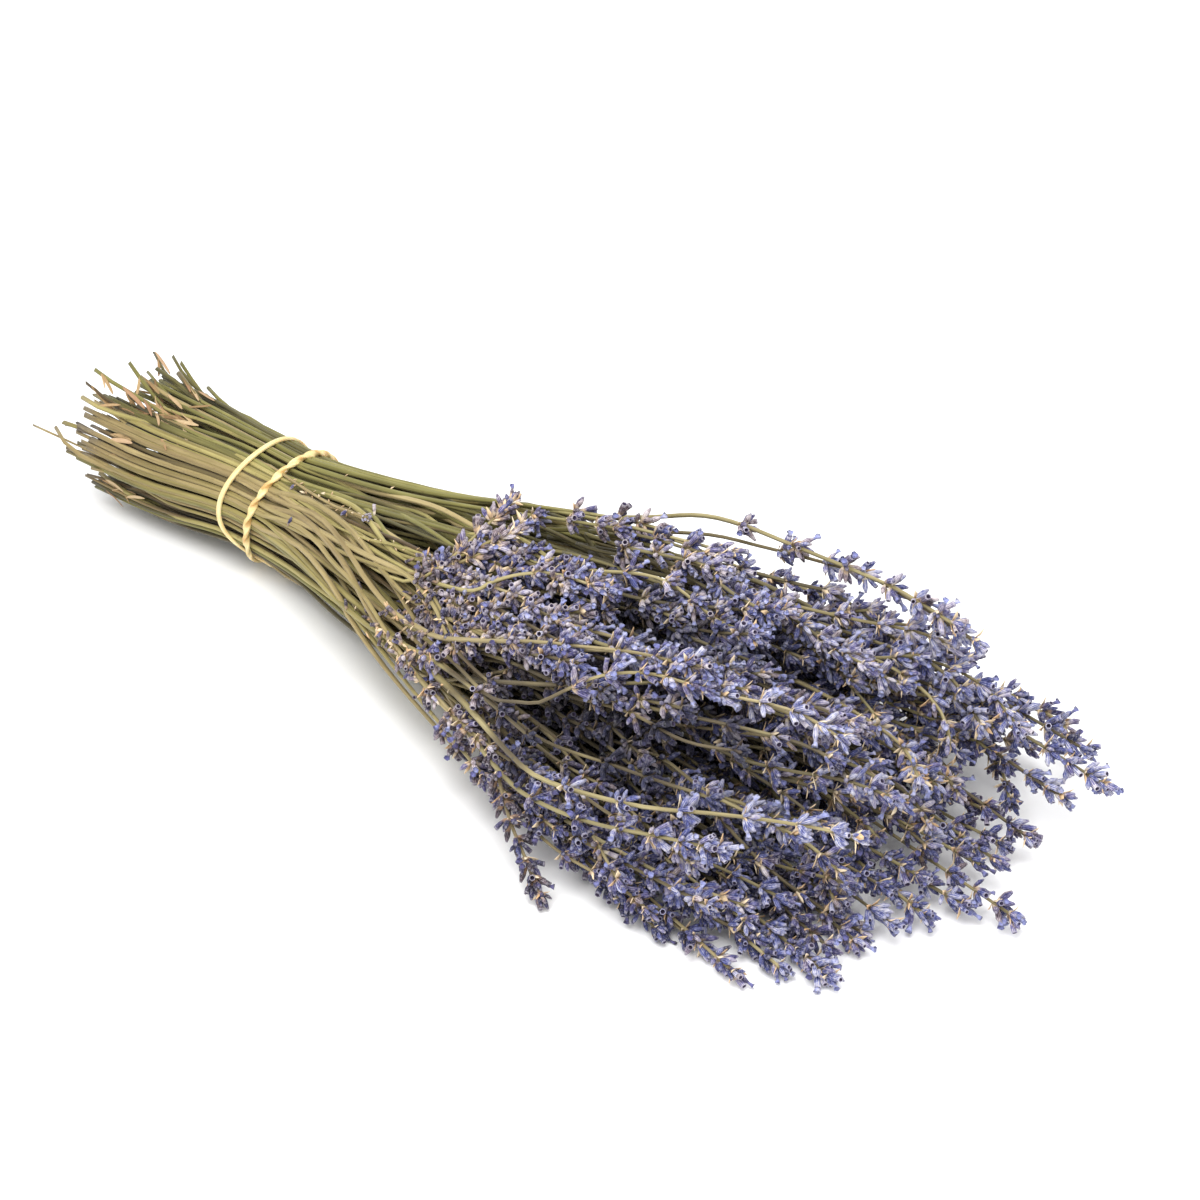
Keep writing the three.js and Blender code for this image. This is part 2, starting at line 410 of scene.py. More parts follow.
def common_stalk(number):
    reach = WAIST_REACH * ((number + 0.5) / STALKS) ** 0.5
    angle = number * GOLDEN_ANGLE
    u0 = reach * cos(angle) + chance.normal(0, WAIST_JITTER)
    v0 = reach * sin(angle) + chance.normal(0, WAIST_JITTER)
    x = np.arange(cut_end(u0, v0), tip_end(u0, v0, reach), COURSE_STEP)
    drift = WANDERERS_DRIFT if chance.random() < WANDERERS else DRIFT
    u1 = u0 * HEAD_SPREAD[0] + chance.normal(0, drift)
    v1 = v0 * HEAD_SPREAD[1] + chance.normal(0, drift)
    excess = max(1.0, float(np.hypot(u1 / (0.92 if u1 < 0 else 0.97), v1 / 0.93)))
    opening = smooth_step(x, 18, 210)
    pressed = PRESS * (WAIST_REACH - reach) * (reach > OUTER_RING) * np.exp(-(x / 30) ** 2)
    u = u0 + (u1 / excess - u0) * opening + pressed * cos(angle)
    v = v0 + (v1 / excess - v0) * opening + pressed * sin(angle)
    near_side = max(0.0, cos(np.clip((angle % tau - radians(146)) * 1.3, -pi / 2, pi / 2)))
    swing = np.interp(x, SWING[:, 0], SWING[:, 1]) * near_side * chance.uniform(0.7, 1.35)
    swing *= np.where(x < 150, smooth_step(reach, 0.62, 0.90), smooth_step(reach, 0.25, 0.60))
    swing = np.radians(np.convolve(np.pad(swing, 4, mode="edge"), np.ones(9) / 9, mode="valid"))
    u, v = u * np.cos(swing) - v * np.sin(swing), u * np.sin(swing) + v * np.cos(swing)
    tuft = TUFTS[np.argmin(np.hypot(TUFTS[:, 0] - u0, TUFTS[:, 1] - v0))]
    gather = GATHER * smooth_step(-x, 25, 105) * chance.uniform(0.3, 1.2)
    u = u + (tuft[0] - u) * gather
    v = v + (tuft[1] - v) * gather
    points = place_in_bunch(x, u, v)
    points[:, 1] += wandering(x, 3.2) * np.where(x < 0, 1.5, 1)
    points[:, 2] += wandering(x, 2.3) * np.where(x < 0, 1.4, 1)
    bend = np.clip(x - (x[-1] - BENT_LENGTH), 0, None) ** 2 / (2 * BENT_LENGTH)
    points[:, 1] += bend * chance.normal(0, 0.22)
    points[:, 2] += bend * chance.normal(-0.03, 0.17)
    flare = np.clip(-x - FLARE_START, 0, None) ** 1.5 / 240
    points[:, 1] += flare * chance.normal(0, 3.2)
    points[:, 2] += flare * (chance.normal(0, 2.0) + chance.uniform(1, 22) * smooth_step(v0, 0.45, 0.9))
    return Course(points)


def through(stops):
    """A smooth line of points through the stops."""
    stops = np.array(stops, float)
    ends = np.vstack([2 * stops[0] - stops[1], stops, 2 * stops[-1] - stops[-2]])
    line = []
    for a, b, c, d in zip(ends, ends[1:], ends[2:], ends[3:]):
        pieces = max(2, int(np.linalg.norm(c - b) / COURSE_STEP))
        for t in np.arange(pieces) / pieces:
            line.append(0.5 * (2 * b + (c - a) * t + (2 * a - 5 * b + 4 * c - d) * t ** 2
                               + (3 * b - a - 3 * c + d) * t ** 3))
    line.append(stops[-1])
    return np.array(line)


def stray_stalk(stops, cut, **habit):
    """A stalk that leaves the others: it lies with them up to the band, then goes through its stops."""
    u, v = place_in_disc(np.array(stops[0], float))
    pull = max(1.0, float(np.hypot(u, v)) / WAIST_REACH)
    held = place_in_bunch([cut, -60.0, -20.0, 0.0], u / pull, v / pull)
    return Course(through(np.vstack([held, stops])), **habit)


def surface_stalk(stops, cut, **habit):
    """A stalk that lies on the outside: each stop is x, the angle round the bunch and the reach."""
    line = [place_in_bunch(x, r * cos(radians(a)), r * sin(radians(a)))[0] for x, a, r in stops]
    return stray_stalk(line, cut, **habit)


# Long strays along the far edge, then the spike that hangs down on the near side, then stray tips.
# Each is told by the x of its cut end, its habit and its stops.
STRAYS = [stray_stalk(stops, cut, **habit) for cut, habit, *stops in (
    (-98, dict(flowering=112), (18, 14, 46), (46, 20, 49), (83, 24, 52), (128, 30, 63), (165, 36, 74),
     (192, 40, 84), (212, 42, 87), (238, 44, 87), (270, 46, 87), (286, 46, 87), (312, 44, 85)),
    (-90, dict(flowering=96), (20, 12, 48), (76, 20, 53), (130, 28, 62), (167, 34, 70), (198, 40, 78),
     (219, 44, 80), (243, 48, 82), (267, 50, 84), (290, 50, 82), (316, 52, 76)),
    (-94, dict(flowering=120), (20, 8, 52), (81, 10, 56), (138, 20, 60), (173, 28, 64), (199, 34, 70),
     (235, 44, 71), (254, 50, 70), (278, 56, 58)),
    (-100, dict(flowering=118, dense=True), (20, -16, 38), (60, -24, 40), (110, -32, 43), (140, -38, 43),
     (160, -46, 40), (178, -60, 37), (196, -72, 34), (210, -81, 29), (220, -86, 21), (234, -91, 12),
     (245, -95, 5)),
    (-92, {}, (20, 16, 40), (110, 30, 52), (200, 48, 60), (260, 60, 50), (320, 66, 38), (364, 69, 30)),
    (-94, dict(flowering=100), (20, 12, 34), (110, 34, 44), (220, 60, 46), (300, 74, 40), (350, 77, 34)),
    (-100, {}, (20, 10, 36), (110, 20, 44), (220, 42, 44), (300, 56, 34), (355, 57, 26)),
    (-100, {}, (20, 8, 34), (110, 16, 40), (220, 34, 36), (300, 42, 24), (352, 43, 14)),
    (-100, dict(flowering=60), (20, -2, 30), (110, 0, 36), (230, 2, 34), (320, 6, 18), (372, 9, 8)),
    (-96, dict(flowering=66), (20, 2, 26), (110, 6, 30), (230, 14, 28), (310, 22, 22), (352, 24, 14)),
)]
# The tips of the stalks that lie lowest, along the front of the head: x, y and z.
LOW_TIPS = [
    (231, -64, 8), (242, -60, 15), (255, -69, 6), (264, -62, 12), (268, -77, 5), (276, -55, 16),
    (287, -80, 5), (290, -52, 9), (298, -68, 12), (302, -40, 18), (305, -76, 5), (308, -55, 6),
    (314, -64, 14), (320, -46, 8), (322, -79, 5), (328, -32, 14), (331, -66, 5), (338, -50, 9),
    (336, -20, 18), (343, -58, 5), (341, -38, 6), (346, -26, 10), (340, -4, 16), (347, -58, 5),
    (350, -12, 8), (356, 2, 8), (350, 16, 16), (294, -32, 20), (323, 33, 22), (338, 22, 16),
    (333, 10, 22), (330, 46, 14), (312, 36, 22), (344, 38, 10), (300, 18, 26),
]
# Short spikes low on the head, on its top and near side: tip x, angle round the bunch, and length.
EARLY_SPIKES = [
    (156, 122, 30), (166, 112, 36), (160, 130, 30), (178, 119, 44), (188, 110, 50), (164, 142, 30),
    (180, 130, 44), (198, 120, 54), (172, 152, 34), (186, 143, 46), (196, 132, 50), (210, 124, 60),
    (168, 160, 26), (196, 152, 50), (190, 150, 30), (206, 140, 56), (216, 132, 60), (204, 104, 56),
    (186, 102, 46), (152, 134, 22), (148, 124, 24), (176, 106, 40),
]
# Stalks that cross the others on the near side and the top, told in the same way, but with the
# angle round the bunch and the reach at each stop.
SURFACE_STALKS = [surface_stalk(stops, cut, **habit) for cut, habit, *stops in (
    (-104, dict(flowering=84), (21, 139, 0.99), (41, 133, 1.04), (57, 134, 1.07), (76, 140, 1.08),
     (93, 146, 1.08), (108, 149, 1.08), (123, 150, 1.08), (135, 148, 1.08), (150, 145, 1.09),
     (165, 139, 1.10), (178, 134, 1.10), (196, 127, 1.10), (213, 122, 1.09), (236, 116, 1.06),
     (262, 112, 1.04)),
    (-100, dict(flowering=60), (8, 161, 0.98), (32, 149, 1.03), (52, 147, 1.05), (70, 151, 1.07),
     (86, 152, 1.08), (103, 155, 1.08), (118, 160, 1.07), (136, 165, 1.05), (160, 168, 1.04),
     (190, 166, 1.03)),
    (-108, {}, (14, 176, 0.98), (38, 171, 1.02), (58, 170, 1.04), (75, 171, 1.05), (93, 169, 1.06),
     (114, 165, 1.06), (135, 158, 1.06), (158, 154, 1.05), (186, 152, 1.03), (214, 152, 1.0)),
    (-99, dict(flowering=40), (16, 150, 0.99), (46, 142, 1.03), (74, 138, 1.06), (95, 136, 1.07),
     (115, 134, 1.08), (131, 136, 1.08), (142, 139, 1.07), (152, 145, 1.03), (166, 150, 0.97),
     (188, 152, 0.92)),
    (-96, dict(flowering=36), (14, 157, 0.98), (44, 149, 1.03), (78, 142, 1.06), (104, 137, 1.06),
     (124, 133, 1.08), (135, 135, 1.07), (142, 138, 1.05), (150, 143, 1.0), (160, 150, 0.94),
     (180, 156, 0.90)),
    (-102, dict(flowering=34), (16, 128, 0.96), (60, 132, 0.97), (100, 134, 1.0), (130, 131, 1.05),
     (152, 126, 1.08), (157, 121, 1.09), (163, 116, 1.09), (170, 112, 1.09), (180, 108, 1.07),
     (204, 104, 1.02)),
    (-100, dict(flowering=58), (14, 165, 0.95), (80, 160, 0.94), (150, 154, 0.97), (186, 150, 1.04),
     (203, 143, 1.08), (213, 139, 1.08), (220, 133, 1.08), (230, 125, 1.07), (246, 119, 1.05),
     (268, 116, 1.03)),
    (-98, dict(flowering=118), (16, 172, 0.96), (80, 168, 0.97), (160, 162, 1.0), (205, 158, 1.05),
     (226, 156, 1.07), (250, 151, 1.07), (276, 145, 1.07), (300, 138, 1.06), (322, 132, 1.05),
     (342, 126, 1.03)),
    (-102, dict(flowering=92), (14, 178, 0.96), (90, 174, 0.98), (170, 170, 1.01), (214, 166, 1.05),
     (240, 161, 1.06), (262, 156, 1.06), (286, 150, 1.05), (308, 146, 1.03)),
    (-97, dict(flowering=62, dense=True), (16, 138, 0.97), (70, 142, 0.98), (106, 140, 1.03),
     (122, 134, 1.09), (131, 125, 1.13), (135, 112, 1.16), (134, 99, 1.17), (129, 86, 1.17)),
    (-95, dict(flowering=50, dense=True), (16, 134, 0.98), (70, 138, 0.98), (110, 136, 1.03),
     (128, 126, 1.08), (140, 116, 1.09), (146, 104, 1.10), (144, 94, 1.11)),
    (-99, dict(flowering=44, dense=True), (16, 126, 0.97), (80, 130, 0.98), (118, 126, 1.05),
     (134, 118, 1.10), (142, 108, 1.12), (148, 99, 1.12)),
    (-92, dict(flowering=36), (14, 96, 0.98), (70, 94, 1.02), (120, 91, 1.06), (150, 86, 1.08),
     (176, 80, 1.09)),
    (-92, dict(flowering=44), (14, 86, 0.98), (80, 86, 1.02), (130, 80, 1.07), (166, 73, 1.10),
     (186, 70, 1.11)),
    (-90, dict(flowering=48), (14, 80, 0.98), (80, 82, 1.02), (150, 77, 1.06), (190, 72, 1.08),
     (216, 66, 1.09)),
    (-96, dict(flowering=44), (16, 164, 0.98), (60, 168, 1.02), (100, 172, 1.04), (135, 175, 1.05),
     (165, 176, 1.05), (198, 178, 1.03)),
    (-104, {}, (13, 150, 0.98), (29, 142, 1.02), (45, 140, 1.05), (65, 144, 1.06), (83, 150, 1.06),
     (101, 158, 1.06), (122, 164, 1.05), (150, 168, 1.03), (190, 166, 1.02), (230, 160, 1.0)),
    (-100, {}, (12, 173, 0.98), (40, 161, 1.01), (63, 162, 1.04), (79, 168, 1.04), (92, 176, 1.04),
     (118, 186, 1.03), (150, 190, 1.02), (190, 186, 1.0), (240, 176, 0.98)),
    (-106, {}, (13, 135, 0.98), (30, 127, 1.01), (47, 126, 1.04), (67, 129, 1.05), (84, 134, 1.05),
     (104, 140, 1.04), (124, 143, 1.02), (150, 140, 0.99), (190, 132, 0.97)),
    (-131, dict(flowering=10, thin=True), (10, 165, 0.98), (60, 160, 0.97), (140, 156, 0.90)),
    (-70, dict(flowering=66, bare=True, thin=True), (0, 114, 0.99), (23, 119, 1.03), (47, 121, 1.05),
     (60, 120, 1.06), (73, 119, 1.06)),
    (-80, dict(flowering=46, bare=True, thin=True), (16, 132, 0.98), (50, 133, 1.02), (80, 130, 1.06),
     (98, 126, 1.08), (120, 123, 1.08)),
)]
# Hollows between the spikes, where no spike ends and painted shade darkens what lies near: x, y, z and
# radius.
HOLLOWS = np.array([(276, -47, 62, 13), (266, -54, 57, 13), (247, -64, 52, 12), (211, -65, 46, 13),
                    (214, -60, 55, 10), (192, -56, 52, 10), (300, -50, 52, 10), (330, 20, 52, 9),
                    (168, -54, 44, 8), (236, -58, 58, 9), (302, -30, 62, 9)])


def in_hollow(point):
    return bool(np.any(np.linalg.norm(HOLLOWS[:, :3] - point, axis=1) < HOLLOWS[:, 3]))


def painted_shade_at(points):
    """How much painted shade things get at points: 0 on the outside, and nearly 1 inside, underneath or in a
    hollow.
    """
    x, y, z = points.T
    inside = 1 - smooth_step(np.hypot(*places_in_discs(points)), 0.54, 0.92)
    inside = inside * (1 - 0.85 * smooth_step(x, 225, 295))
    under = (1 - smooth_step(z, 10, 26)) * smooth_step(y, -62, -44) * (1 - smooth_step(x, 290, 320))
    far = np.linalg.norm(HOLLOWS[:, None, :3] - points[None], axis=2) / HOLLOWS[:, 3:]
    hollow = np.max(1 - smooth_step(far, 1.0, 1.6), axis=0)
    return 0.95 * np.maximum(np.maximum(inside, hollow), 0.8 * under)


def low_stalk(tip):
    """A stalk that runs out of the underside of the sheaf and along the table to its tip."""
    x, y, z = tip
    aside = chance.normal(0, 3, 2)
    return stray_stalk([(20, 0.2 * y + chance.normal(0, 2.5), chance.uniform(9, 20)),
                        (110, 0.42 * y + aside[0], chance.uniform(14, 24)),
                        (0.62 * x + 30, 0.80 * y + aside[1], 14 + 0.3 * z), tip],
                       chance.uniform(-106, -96), flowering=chance.uniform(44, 100))


def early_spike(tip, angle, flowering):
    """A short stalk near the outside."""
    turns = angle + chance.normal((8, 4, 2), (8, 6, 4))
    reach = chance.uniform(0.95, 1.02)
    return surface_stalk([(16, turns[0], 0.92), (60, turns[1], 0.93), (0.72 * tip, turns[2], 0.97),
                          (tip, angle, reach)], chance.uniform(-106, -90), flowering=flowering)


courses = [common_stalk(number) for number in range(STALKS)]
courses = [course for course in courses if np.hypot(*place_in_disc(course.points[-1])) < FARTHEST_TIP]
courses += [low_stalk(tip) for tip in LOW_TIPS]
courses += [early_spike(*tip) for tip in EARLY_SPIKES]
courses = [course for course in courses if not in_hollow(course.points[-1])] + STRAYS
FIRST_SURFACE = len(courses)
courses += SURFACE_STALKS


# ---------------------------------------------------------------------------------------------
# The stems. Each is a dry square stem with rounded corners, olive to straw coloured and finely
# ridged along its length, cut across so that its pale pith shows. One is shaped and then laid
# along every course. The part above the first flowers belongs to the spikes.
STEM_SIDES = 8
STEM_RINGS = 26
# Shares of the stem's radius, and the depth of the pith as a share of its length.
FLAT_OF_SQUARE = 0.87
PITH_RIM = 0.24
PITH_DEPTH = 0.0012
STEM_RADIUS = 1.02
TOP_RADIUS = 0.64
THIN_STEM = 0.55
CUT_END_SIZE = 0.84
KNOT_LENGTH = 2.2
KNOT_SIZE = 0.22


def drawn(name):
    """The object that was just added, under its own name and with its place in its mesh."""
    bpy.ops.object.transform_apply(location=True, rotation=True, scale=True)
    bpy.context.object.name = name
    return bpy.context.object


def editing(on):
    bpy.ops.object.mode_set(mode="EDIT" if on else "OBJECT")


def choose(shape, kind, test):
    """In edit mode, selects only the vertices or faces that pass the test of their place and normal."""
    editing(False)
    bpy.context.tool_settings.mesh_select_mode = (kind == "VERT", False, kind == "FACE")
    mesh = shape.data
    for group in (mesh.vertices, mesh.edges, mesh.polygons):
        group.foreach_set("select", [False] * len(group))
    items = mesh.vertices if kind == "VERT" else mesh.polygons
    for item in items:
        item.select = test(item.co if kind == "VERT" else item.center, item.normal)
    editing(True)


def thickened(sheet, thickness):
    """Gives a flat sheet its wall."""
    sheet.modifiers.new("wall", "SOLIDIFY").thickness = thickness
    bpy.ops.object.modifier_apply(modifier="wall")


def cut_into_rings(axis, places):
    """In edit mode, cuts the whole shape across an axis at each place."""
    for place in places:
        normal = Vector(float(axis == way) for way in range(3))
        bpy.ops.mesh.select_all(action="SELECT")
        bpy.ops.mesh.bisect(plane_co=normal * place, plane_no=normal)


class Shape:
    """What a shaped mesh is made of, so that copies of it can be laid out."""

    def __init__(self, shape):
        mesh = shape.data
        self.points = self.read(mesh.vertices, "co", 3, float)
        self.corners = self.read(mesh.loops, "vertex_index", 1, int)
        self.starts = self.read(mesh.polygons, "loop_start", 1, int)
        self.counts = self.read(mesh.polygons, "loop_total", 1, int)
        self.finishes = self.read(mesh.polygons, "material_index", 1, int)
        bpy.data.objects.remove(shape)

    @staticmethod
    def read(items, what, width, kind):
        values = np.zeros(len(items) * width, kind)
        items.foreach_get(what, values)
        return values.reshape(-1, width) if width > 1 else values


class Heap:
    """Copies of shapes, gathered into one mesh. Each point keeps its place in its own copy."""

    def __init__(self):
        self.parts = []
        self.points_so_far = 0
        self.corners_so_far = 0

    def put(self, shape, points, own, looks, finish):
        """Adds copies: points and own are (copies, points, 3), and looks are three for each copy or point."""
        copies, count = points.shape[:2]
        offsets = np.arange(copies) * count + self.points_so_far
        starts = np.arange(copies) * len(shape.corners) + self.corners_so_far
        self.parts.append((
            points.reshape(-1, 3),
            np.broadcast_to(own, points.shape).reshape(-1, 3),
            np.repeat(looks, copies * count // len(looks), axis=0),
            (shape.corners[None, :] + offsets[:, None]).ravel(),
            (shape.starts[None, :] + starts[:, None]).ravel(),
            np.tile(shape.counts, copies),
            np.tile(shape.finishes + finish, copies),
        ))
        self.points_so_far += copies * count
        self.corners_so_far += copies * len(shape.corners)

    def made(self, name, *finishes):
        points, own, looks, corners, starts, counts, numbers = (np.concatenate(c) for c in zip(*self.parts))
        mesh = bpy.data.meshes.new(name)
        mesh.vertices.add(len(points))
        mesh.loops.add(len(corners))
        mesh.polygons.add(len(starts))
        mesh.vertices.foreach_set("co", (points * MM + np.array(BUNCH)).astype(np.float32).ravel())
        mesh.loops.foreach_set("vertex_index", corners.astype(np.int32))
        mesh.polygons.foreach_set("loop_start", starts.astype(np.int32))
        mesh.polygons.foreach_set("loop_total", counts.astype(np.int32))
        for finish in finishes:
            mesh.materials.append(finish)
        mesh.polygons.foreach_set("material_index", numbers.astype(np.int32))
        mesh.polygons.foreach_set("use_smooth", np.ones(len(starts), bool))
        for label, values in (("own", own), ("look", looks)):
            kept = mesh.attributes.new(label, "FLOAT_VECTOR", "POINT")
            kept.data.foreach_set("vector", values.astype(np.float32).ravel())
        mesh.update(calc_edges=True)
        mesh.validate()
        piece = bpy.data.objects.new(name, mesh)
        bpy.context.scene.collection.objects.link(piece)
        return piece


select_none()
bpy.ops.mesh.primitive_cylinder_add(vertices=STEM_SIDES, radius=1, depth=1, location=(0.5, 0, 0),
                                    rotation=(0, pi / 2, 0))
stem = drawn("stem")
editing(True)
cut_into_rings(0, [ring / STEM_RINGS for ring in range(1, STEM_RINGS)])
choose(stem, "VERT", lambda co, normal: min(abs(co.y), abs(co.z)) < 0.1)
bpy.ops.transform.resize(value=(1, FLAT_OF_SQUARE, FLAT_OF_SQUARE))
choose(stem, "FACE", lambda co, normal: normal.x < -0.9)
bpy.ops.mesh.inset(thickness=PITH_RIM)
bpy.ops.transform.translate(value=(PITH_DEPTH, 0, 0))
editing(False)
for face in stem.data.polygons:
    face.material_index = 1 if face.normal.x < -0.9 and face.select else 0
stem_shape = Shape(stem)


def lay_stalk(heap, course, start, end, look, slant, finish):
    """Lays one stem along a course between two lengths, with its own turn and slant of cut."""
    places, y, z = stem_shape.points.T
    along = start + places * (end - start)
    point, forward, across, third = course.at(along)
    turn = look.phase + 0.5 * np.sin(along / 60 + look.phase * 3)
    side = y * np.cos(turn) - z * np.sin(turn)
    rise = y * np.sin(turn) + z * np.cos(turn)
    radius = look.radius_at(along)
    laid = point + (across * side[:, None] + third * rise[:, None]) * radius[:, None]
    laid += forward * (slant * side * (places < 0.01))[:, None]
    own = np.stack([along, y * radius, z * radius], axis=1)
    looks = np.tile(look.dye, (len(along), 1))
    # Painted shade: the stem is drawn darker where it runs inside the flower head, under it or through a
    # hollow.
    looks[:, 0] *= 1 - 0.9 * painted_shade_at(point) * smooth_step(point[:, 0], 110, 160)
    heap.put(stem_shape, laid[None], own[None], looks, finish)


stem_finish = Finish("dry_stem", Roughness=0.62, Sheen_Weight=0.12)
own = stem_finish.carried("own")
# The first number is the stalk's own dryness, with painted shade mixed in for stalks deep in the bunch and
# inside the flower head.
tone, hue, seed = stem_finish.looks()
streak = stem_finish.streaks(own, (0.035, 1.6, 1.6), 3.0, seed * 40)
patch = stem_finish.streaks(own, (0.05, 0.12, 0.12), 2.0, seed * 90)
along, across, third = stem_finish.parts(own)
low = ((100.0 - along) * 0.02).clipped()
weathered = ((36.0 - along) * 0.03).clipped() * 0.26
shade = (tone * 0.84 + streak * 0.62 + patch * 0.42 - 0.60 - low * 0.10 + weathered * 0.12).clipped()
olive = stem_finish.dyed(shade, (0.0, 70, 64, 30), (0.25, 92, 86, 36), (0.50, 118, 113, 54),
                         (0.75, 150, 143, 84), (1.0, 188, 177, 124))
straw = stem_finish.dyed(shade, (0.0, 72, 59, 28), (0.25, 106, 92, 44), (0.50, 139, 127, 70),
                         (0.75, 166, 154, 94), (1.0, 204, 191, 146))
rosy = stem_finish.dyed(shade, (0.0, 76, 58, 32), (0.30, 116, 97, 58), (0.60, 153, 135, 88),
                        (1.0, 196, 180, 130))
skin = stem_finish.mixed(((hue + patch * 0.4 - 0.58) * 5.0).clipped(), olive, straw)
skin = stem_finish.mixed(((hue + patch * 0.3 + weathered - 0.92) * 5.0).clipped(), skin, rosy)
pale = stem_finish.dyed(shade, (0.0, 84, 74, 54), (0.5, 146, 134, 98), (1.0, 206, 194, 158))
skin = stem_finish.mixed(((along - 210.0) * 0.012).clipped() * 0.7, skin, pale)
speck = stem_finish.streaks(own, (0.30, 0.9, 0.9), 2.0, seed * 17)
skin = stem_finish.mixed(((speck - 0.62) * 7.0).clipped() * 0.55, skin, dye(92, 62, 38))
ridge = stem_finish.streaks(own, (0.02, 3.4, 3.4), 1.0, seed * 40)
stem_finish.feed(Base_Color=skin, Roughness=0.50 + streak * 0.35,
                 Normal=stem_finish.bumped(ridge, 0.25 * MM, 0.9))

pith_finish = Finish("stem_pith", Roughness=0.85)
own = pith_finish.carried("own")
cells = pith_finish.cloud(own, 4.0, 3.0)
pith = pith_finish.dyed(cells, (0.3, 150, 132, 92), (0.7, 226, 214, 178))
pith_finish.feed(Base_Color=pith, Normal=pith_finish.bumped(cells, 0.1 * MM))


class Look:
    """What makes one stalk differ from its neighbours."""

    def __init__(self, number, course):
        on_surface = number >= FIRST_SURFACE
        u, v = course.disc_place(60)
        near_side = smooth_step(-u, 0.35, 0.85) * smooth_step(v, -0.5, 0.3)
        depth = float(np.hypot(*course.disc_place(150)))
        if on_surface:
            tone = chance.normal(0.74, 0.10)
        else:
            tone = chance.uniform(0.05, 0.95) * (1 - 0.2 * near_side) + 0.15 * near_side
            # Painted shade: stalks that lie deep in the bunch are drawn darker.
            tone *= 0.8 + 0.2 * smooth_step(depth, 0.35, 0.8)
        hue = np.clip(chance.normal(0.40 + 0.56 * near_side, 0.26), 0, 1)
        self.dye = (float(np.clip(tone, 0, 1)), float(hue), chance.random())
        size = chance.normal(1.16 if on_surface else 0.98, 0.16)
        self.radius = STEM_RADIUS * (THIN_STEM if course.thin else float(np.clip(size, 0.6, 1.35)))
        self.phase = chance.uniform(0, tau)
        self.slant = chance.uniform(-0.9, 0.9)
        self.flowers = course.where_x(locks[course.flower_lock, 2])
        self.length = course.length
        self.knots = chance.uniform(0.0, 0.5, 2) * course.length

    def radius_at(self, along):
        taper = smooth_step(along / self.length, 0.45, 1.0)
        radius = self.radius * (1 - taper) + TOP_RADIUS * taper
        radius *= CUT_END_SIZE + (1 - CUT_END_SIZE) * smooth_step(along, 10, 110)
        knots = sum(np.exp(-((along - knot) / KNOT_LENGTH) ** 2) for knot in self.knots)
        return radius * (1 + KNOT_SIZE * knots)


looks = [Look(number, course) for number, course in enumerate(courses)]
for lock in range(len(locks)):
    heap = Heap()
    for course, look in zip(courses, looks):
        if course.stem_lock == lock:
            lay_stalk(heap, course, 0, look.flowers, look, look.slant, 0)
    label = f"{lock + 1:02d}"
    piece = heap.made(f"lavender_stems_{label}", stem_finish.material, pith_finish.material)
    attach(piece, "root")
    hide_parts(f"stems_{label}")


# ---------------------------------------------------------------------------------------------
# The flower spikes. On the top of each stalk sit whorls of small ribbed cups, violet to blue grey,
# felted and pale at the foot, with papery bracts under each whorl. An open and a closed cup, a bract
# and a dried petal are shaped, and copied for every whorl.
CUP_SIDES = 6
CUP_LENGTH = 6.0
OPEN_CUP = ((0.0, 0.34), (0.20, 0.76), (0.62, 0.97), (1.0, 1.06))
CLOSED_CUP = ((0.0, 0.34), (0.22, 0.80), (0.64, 1.02), (1.0, 0.40))
CUP_WALL = 0.24
CUP_DEPTH = 1.5
CUP_LEAN = 0.55
TOOTH = 0.32
RIBS = 9.0
BRACT_LENGTH = 4.4
BRACT_WIDTH = 1.9
BRACT_WALL = 0.16
PETAL_LENGTH = 3.0
CUPS_IN_WHORL = (9, 15)
CUP_SIZES = (0.74, 1.18)
BRACTS_IN_WHORL = (3, 7)
BRACT_SIZES = (0.6, 1.2)
OPEN_CUPS = 0.24
WHORL_REACH = 0.8
# How far things lean away from the stalk, in degrees: bracts, cups, and the cups of a tip.
BRACTS_LEAN = (30, 84)
CUPS_LEAN = (18, 74)
TIP_LEAN = (4, 42)
# The share of cups that still hold petals, and how far in the disc whorls are sheltered.
PETALS = 0.12
CROWN_PETALS = 0.50
SHELTERED = 0.55
# How far apart the whorls are at the tip, how the gaps grow from there down, and where they stop.
WHORL_STEP = (6.5, 9.0)
WHORL_GROWTH = (1.06, 1.55)
DENSE_GROWTH = (1.0, 1.12)
BARE_STEP = (5.0, 8.0)
LONGEST_STEP = 24
SPIKE_LENGTH = (72, 135)
# The numbers of the finishes of a spike. The one after the stalk's is its pith's.
CUP, MOUTH, PAPER, STALK, PETAL = 0, 1, 2, 3, 5
# Where the flowers start: the angle round the bunch in degrees, and x.
FIRST_FLOWERS = ((40, 92, 104, 116, 152, 168, 230, 300), (180, 172, 144, 124, 126, 156, 164, 136))


def small_tube(name, rings):
    """A six-sided tube of the cup's length, in edit mode, as wide as its rings say."""
    select_none()
    bpy.ops.mesh.primitive_cylinder_add(vertices=CUP_SIDES, radius=1, depth=CUP_LENGTH,
                                        location=(0, 0, CUP_LENGTH / 2))
    tube = drawn(name)
    editing(True)
    cut_into_rings(2, [share * CUP_LENGTH for share, _ in rings[1:-1]])
    for share, radius in rings:
        choose(tube, "VERT", lambda co, normal: abs(co.z - share * CUP_LENGTH) < 0.01)
        bpy.ops.transform.resize(value=(radius, radius, 1))
    return tube


def leaned(tube):
    """Back in object mode, bows the tube sideways."""
    for vertex in tube.data.vertices:
        vertex.co.x += CUP_LEAN * (0.25 - (vertex.co.z / CUP_LENGTH - 0.5) ** 2) * 1.6


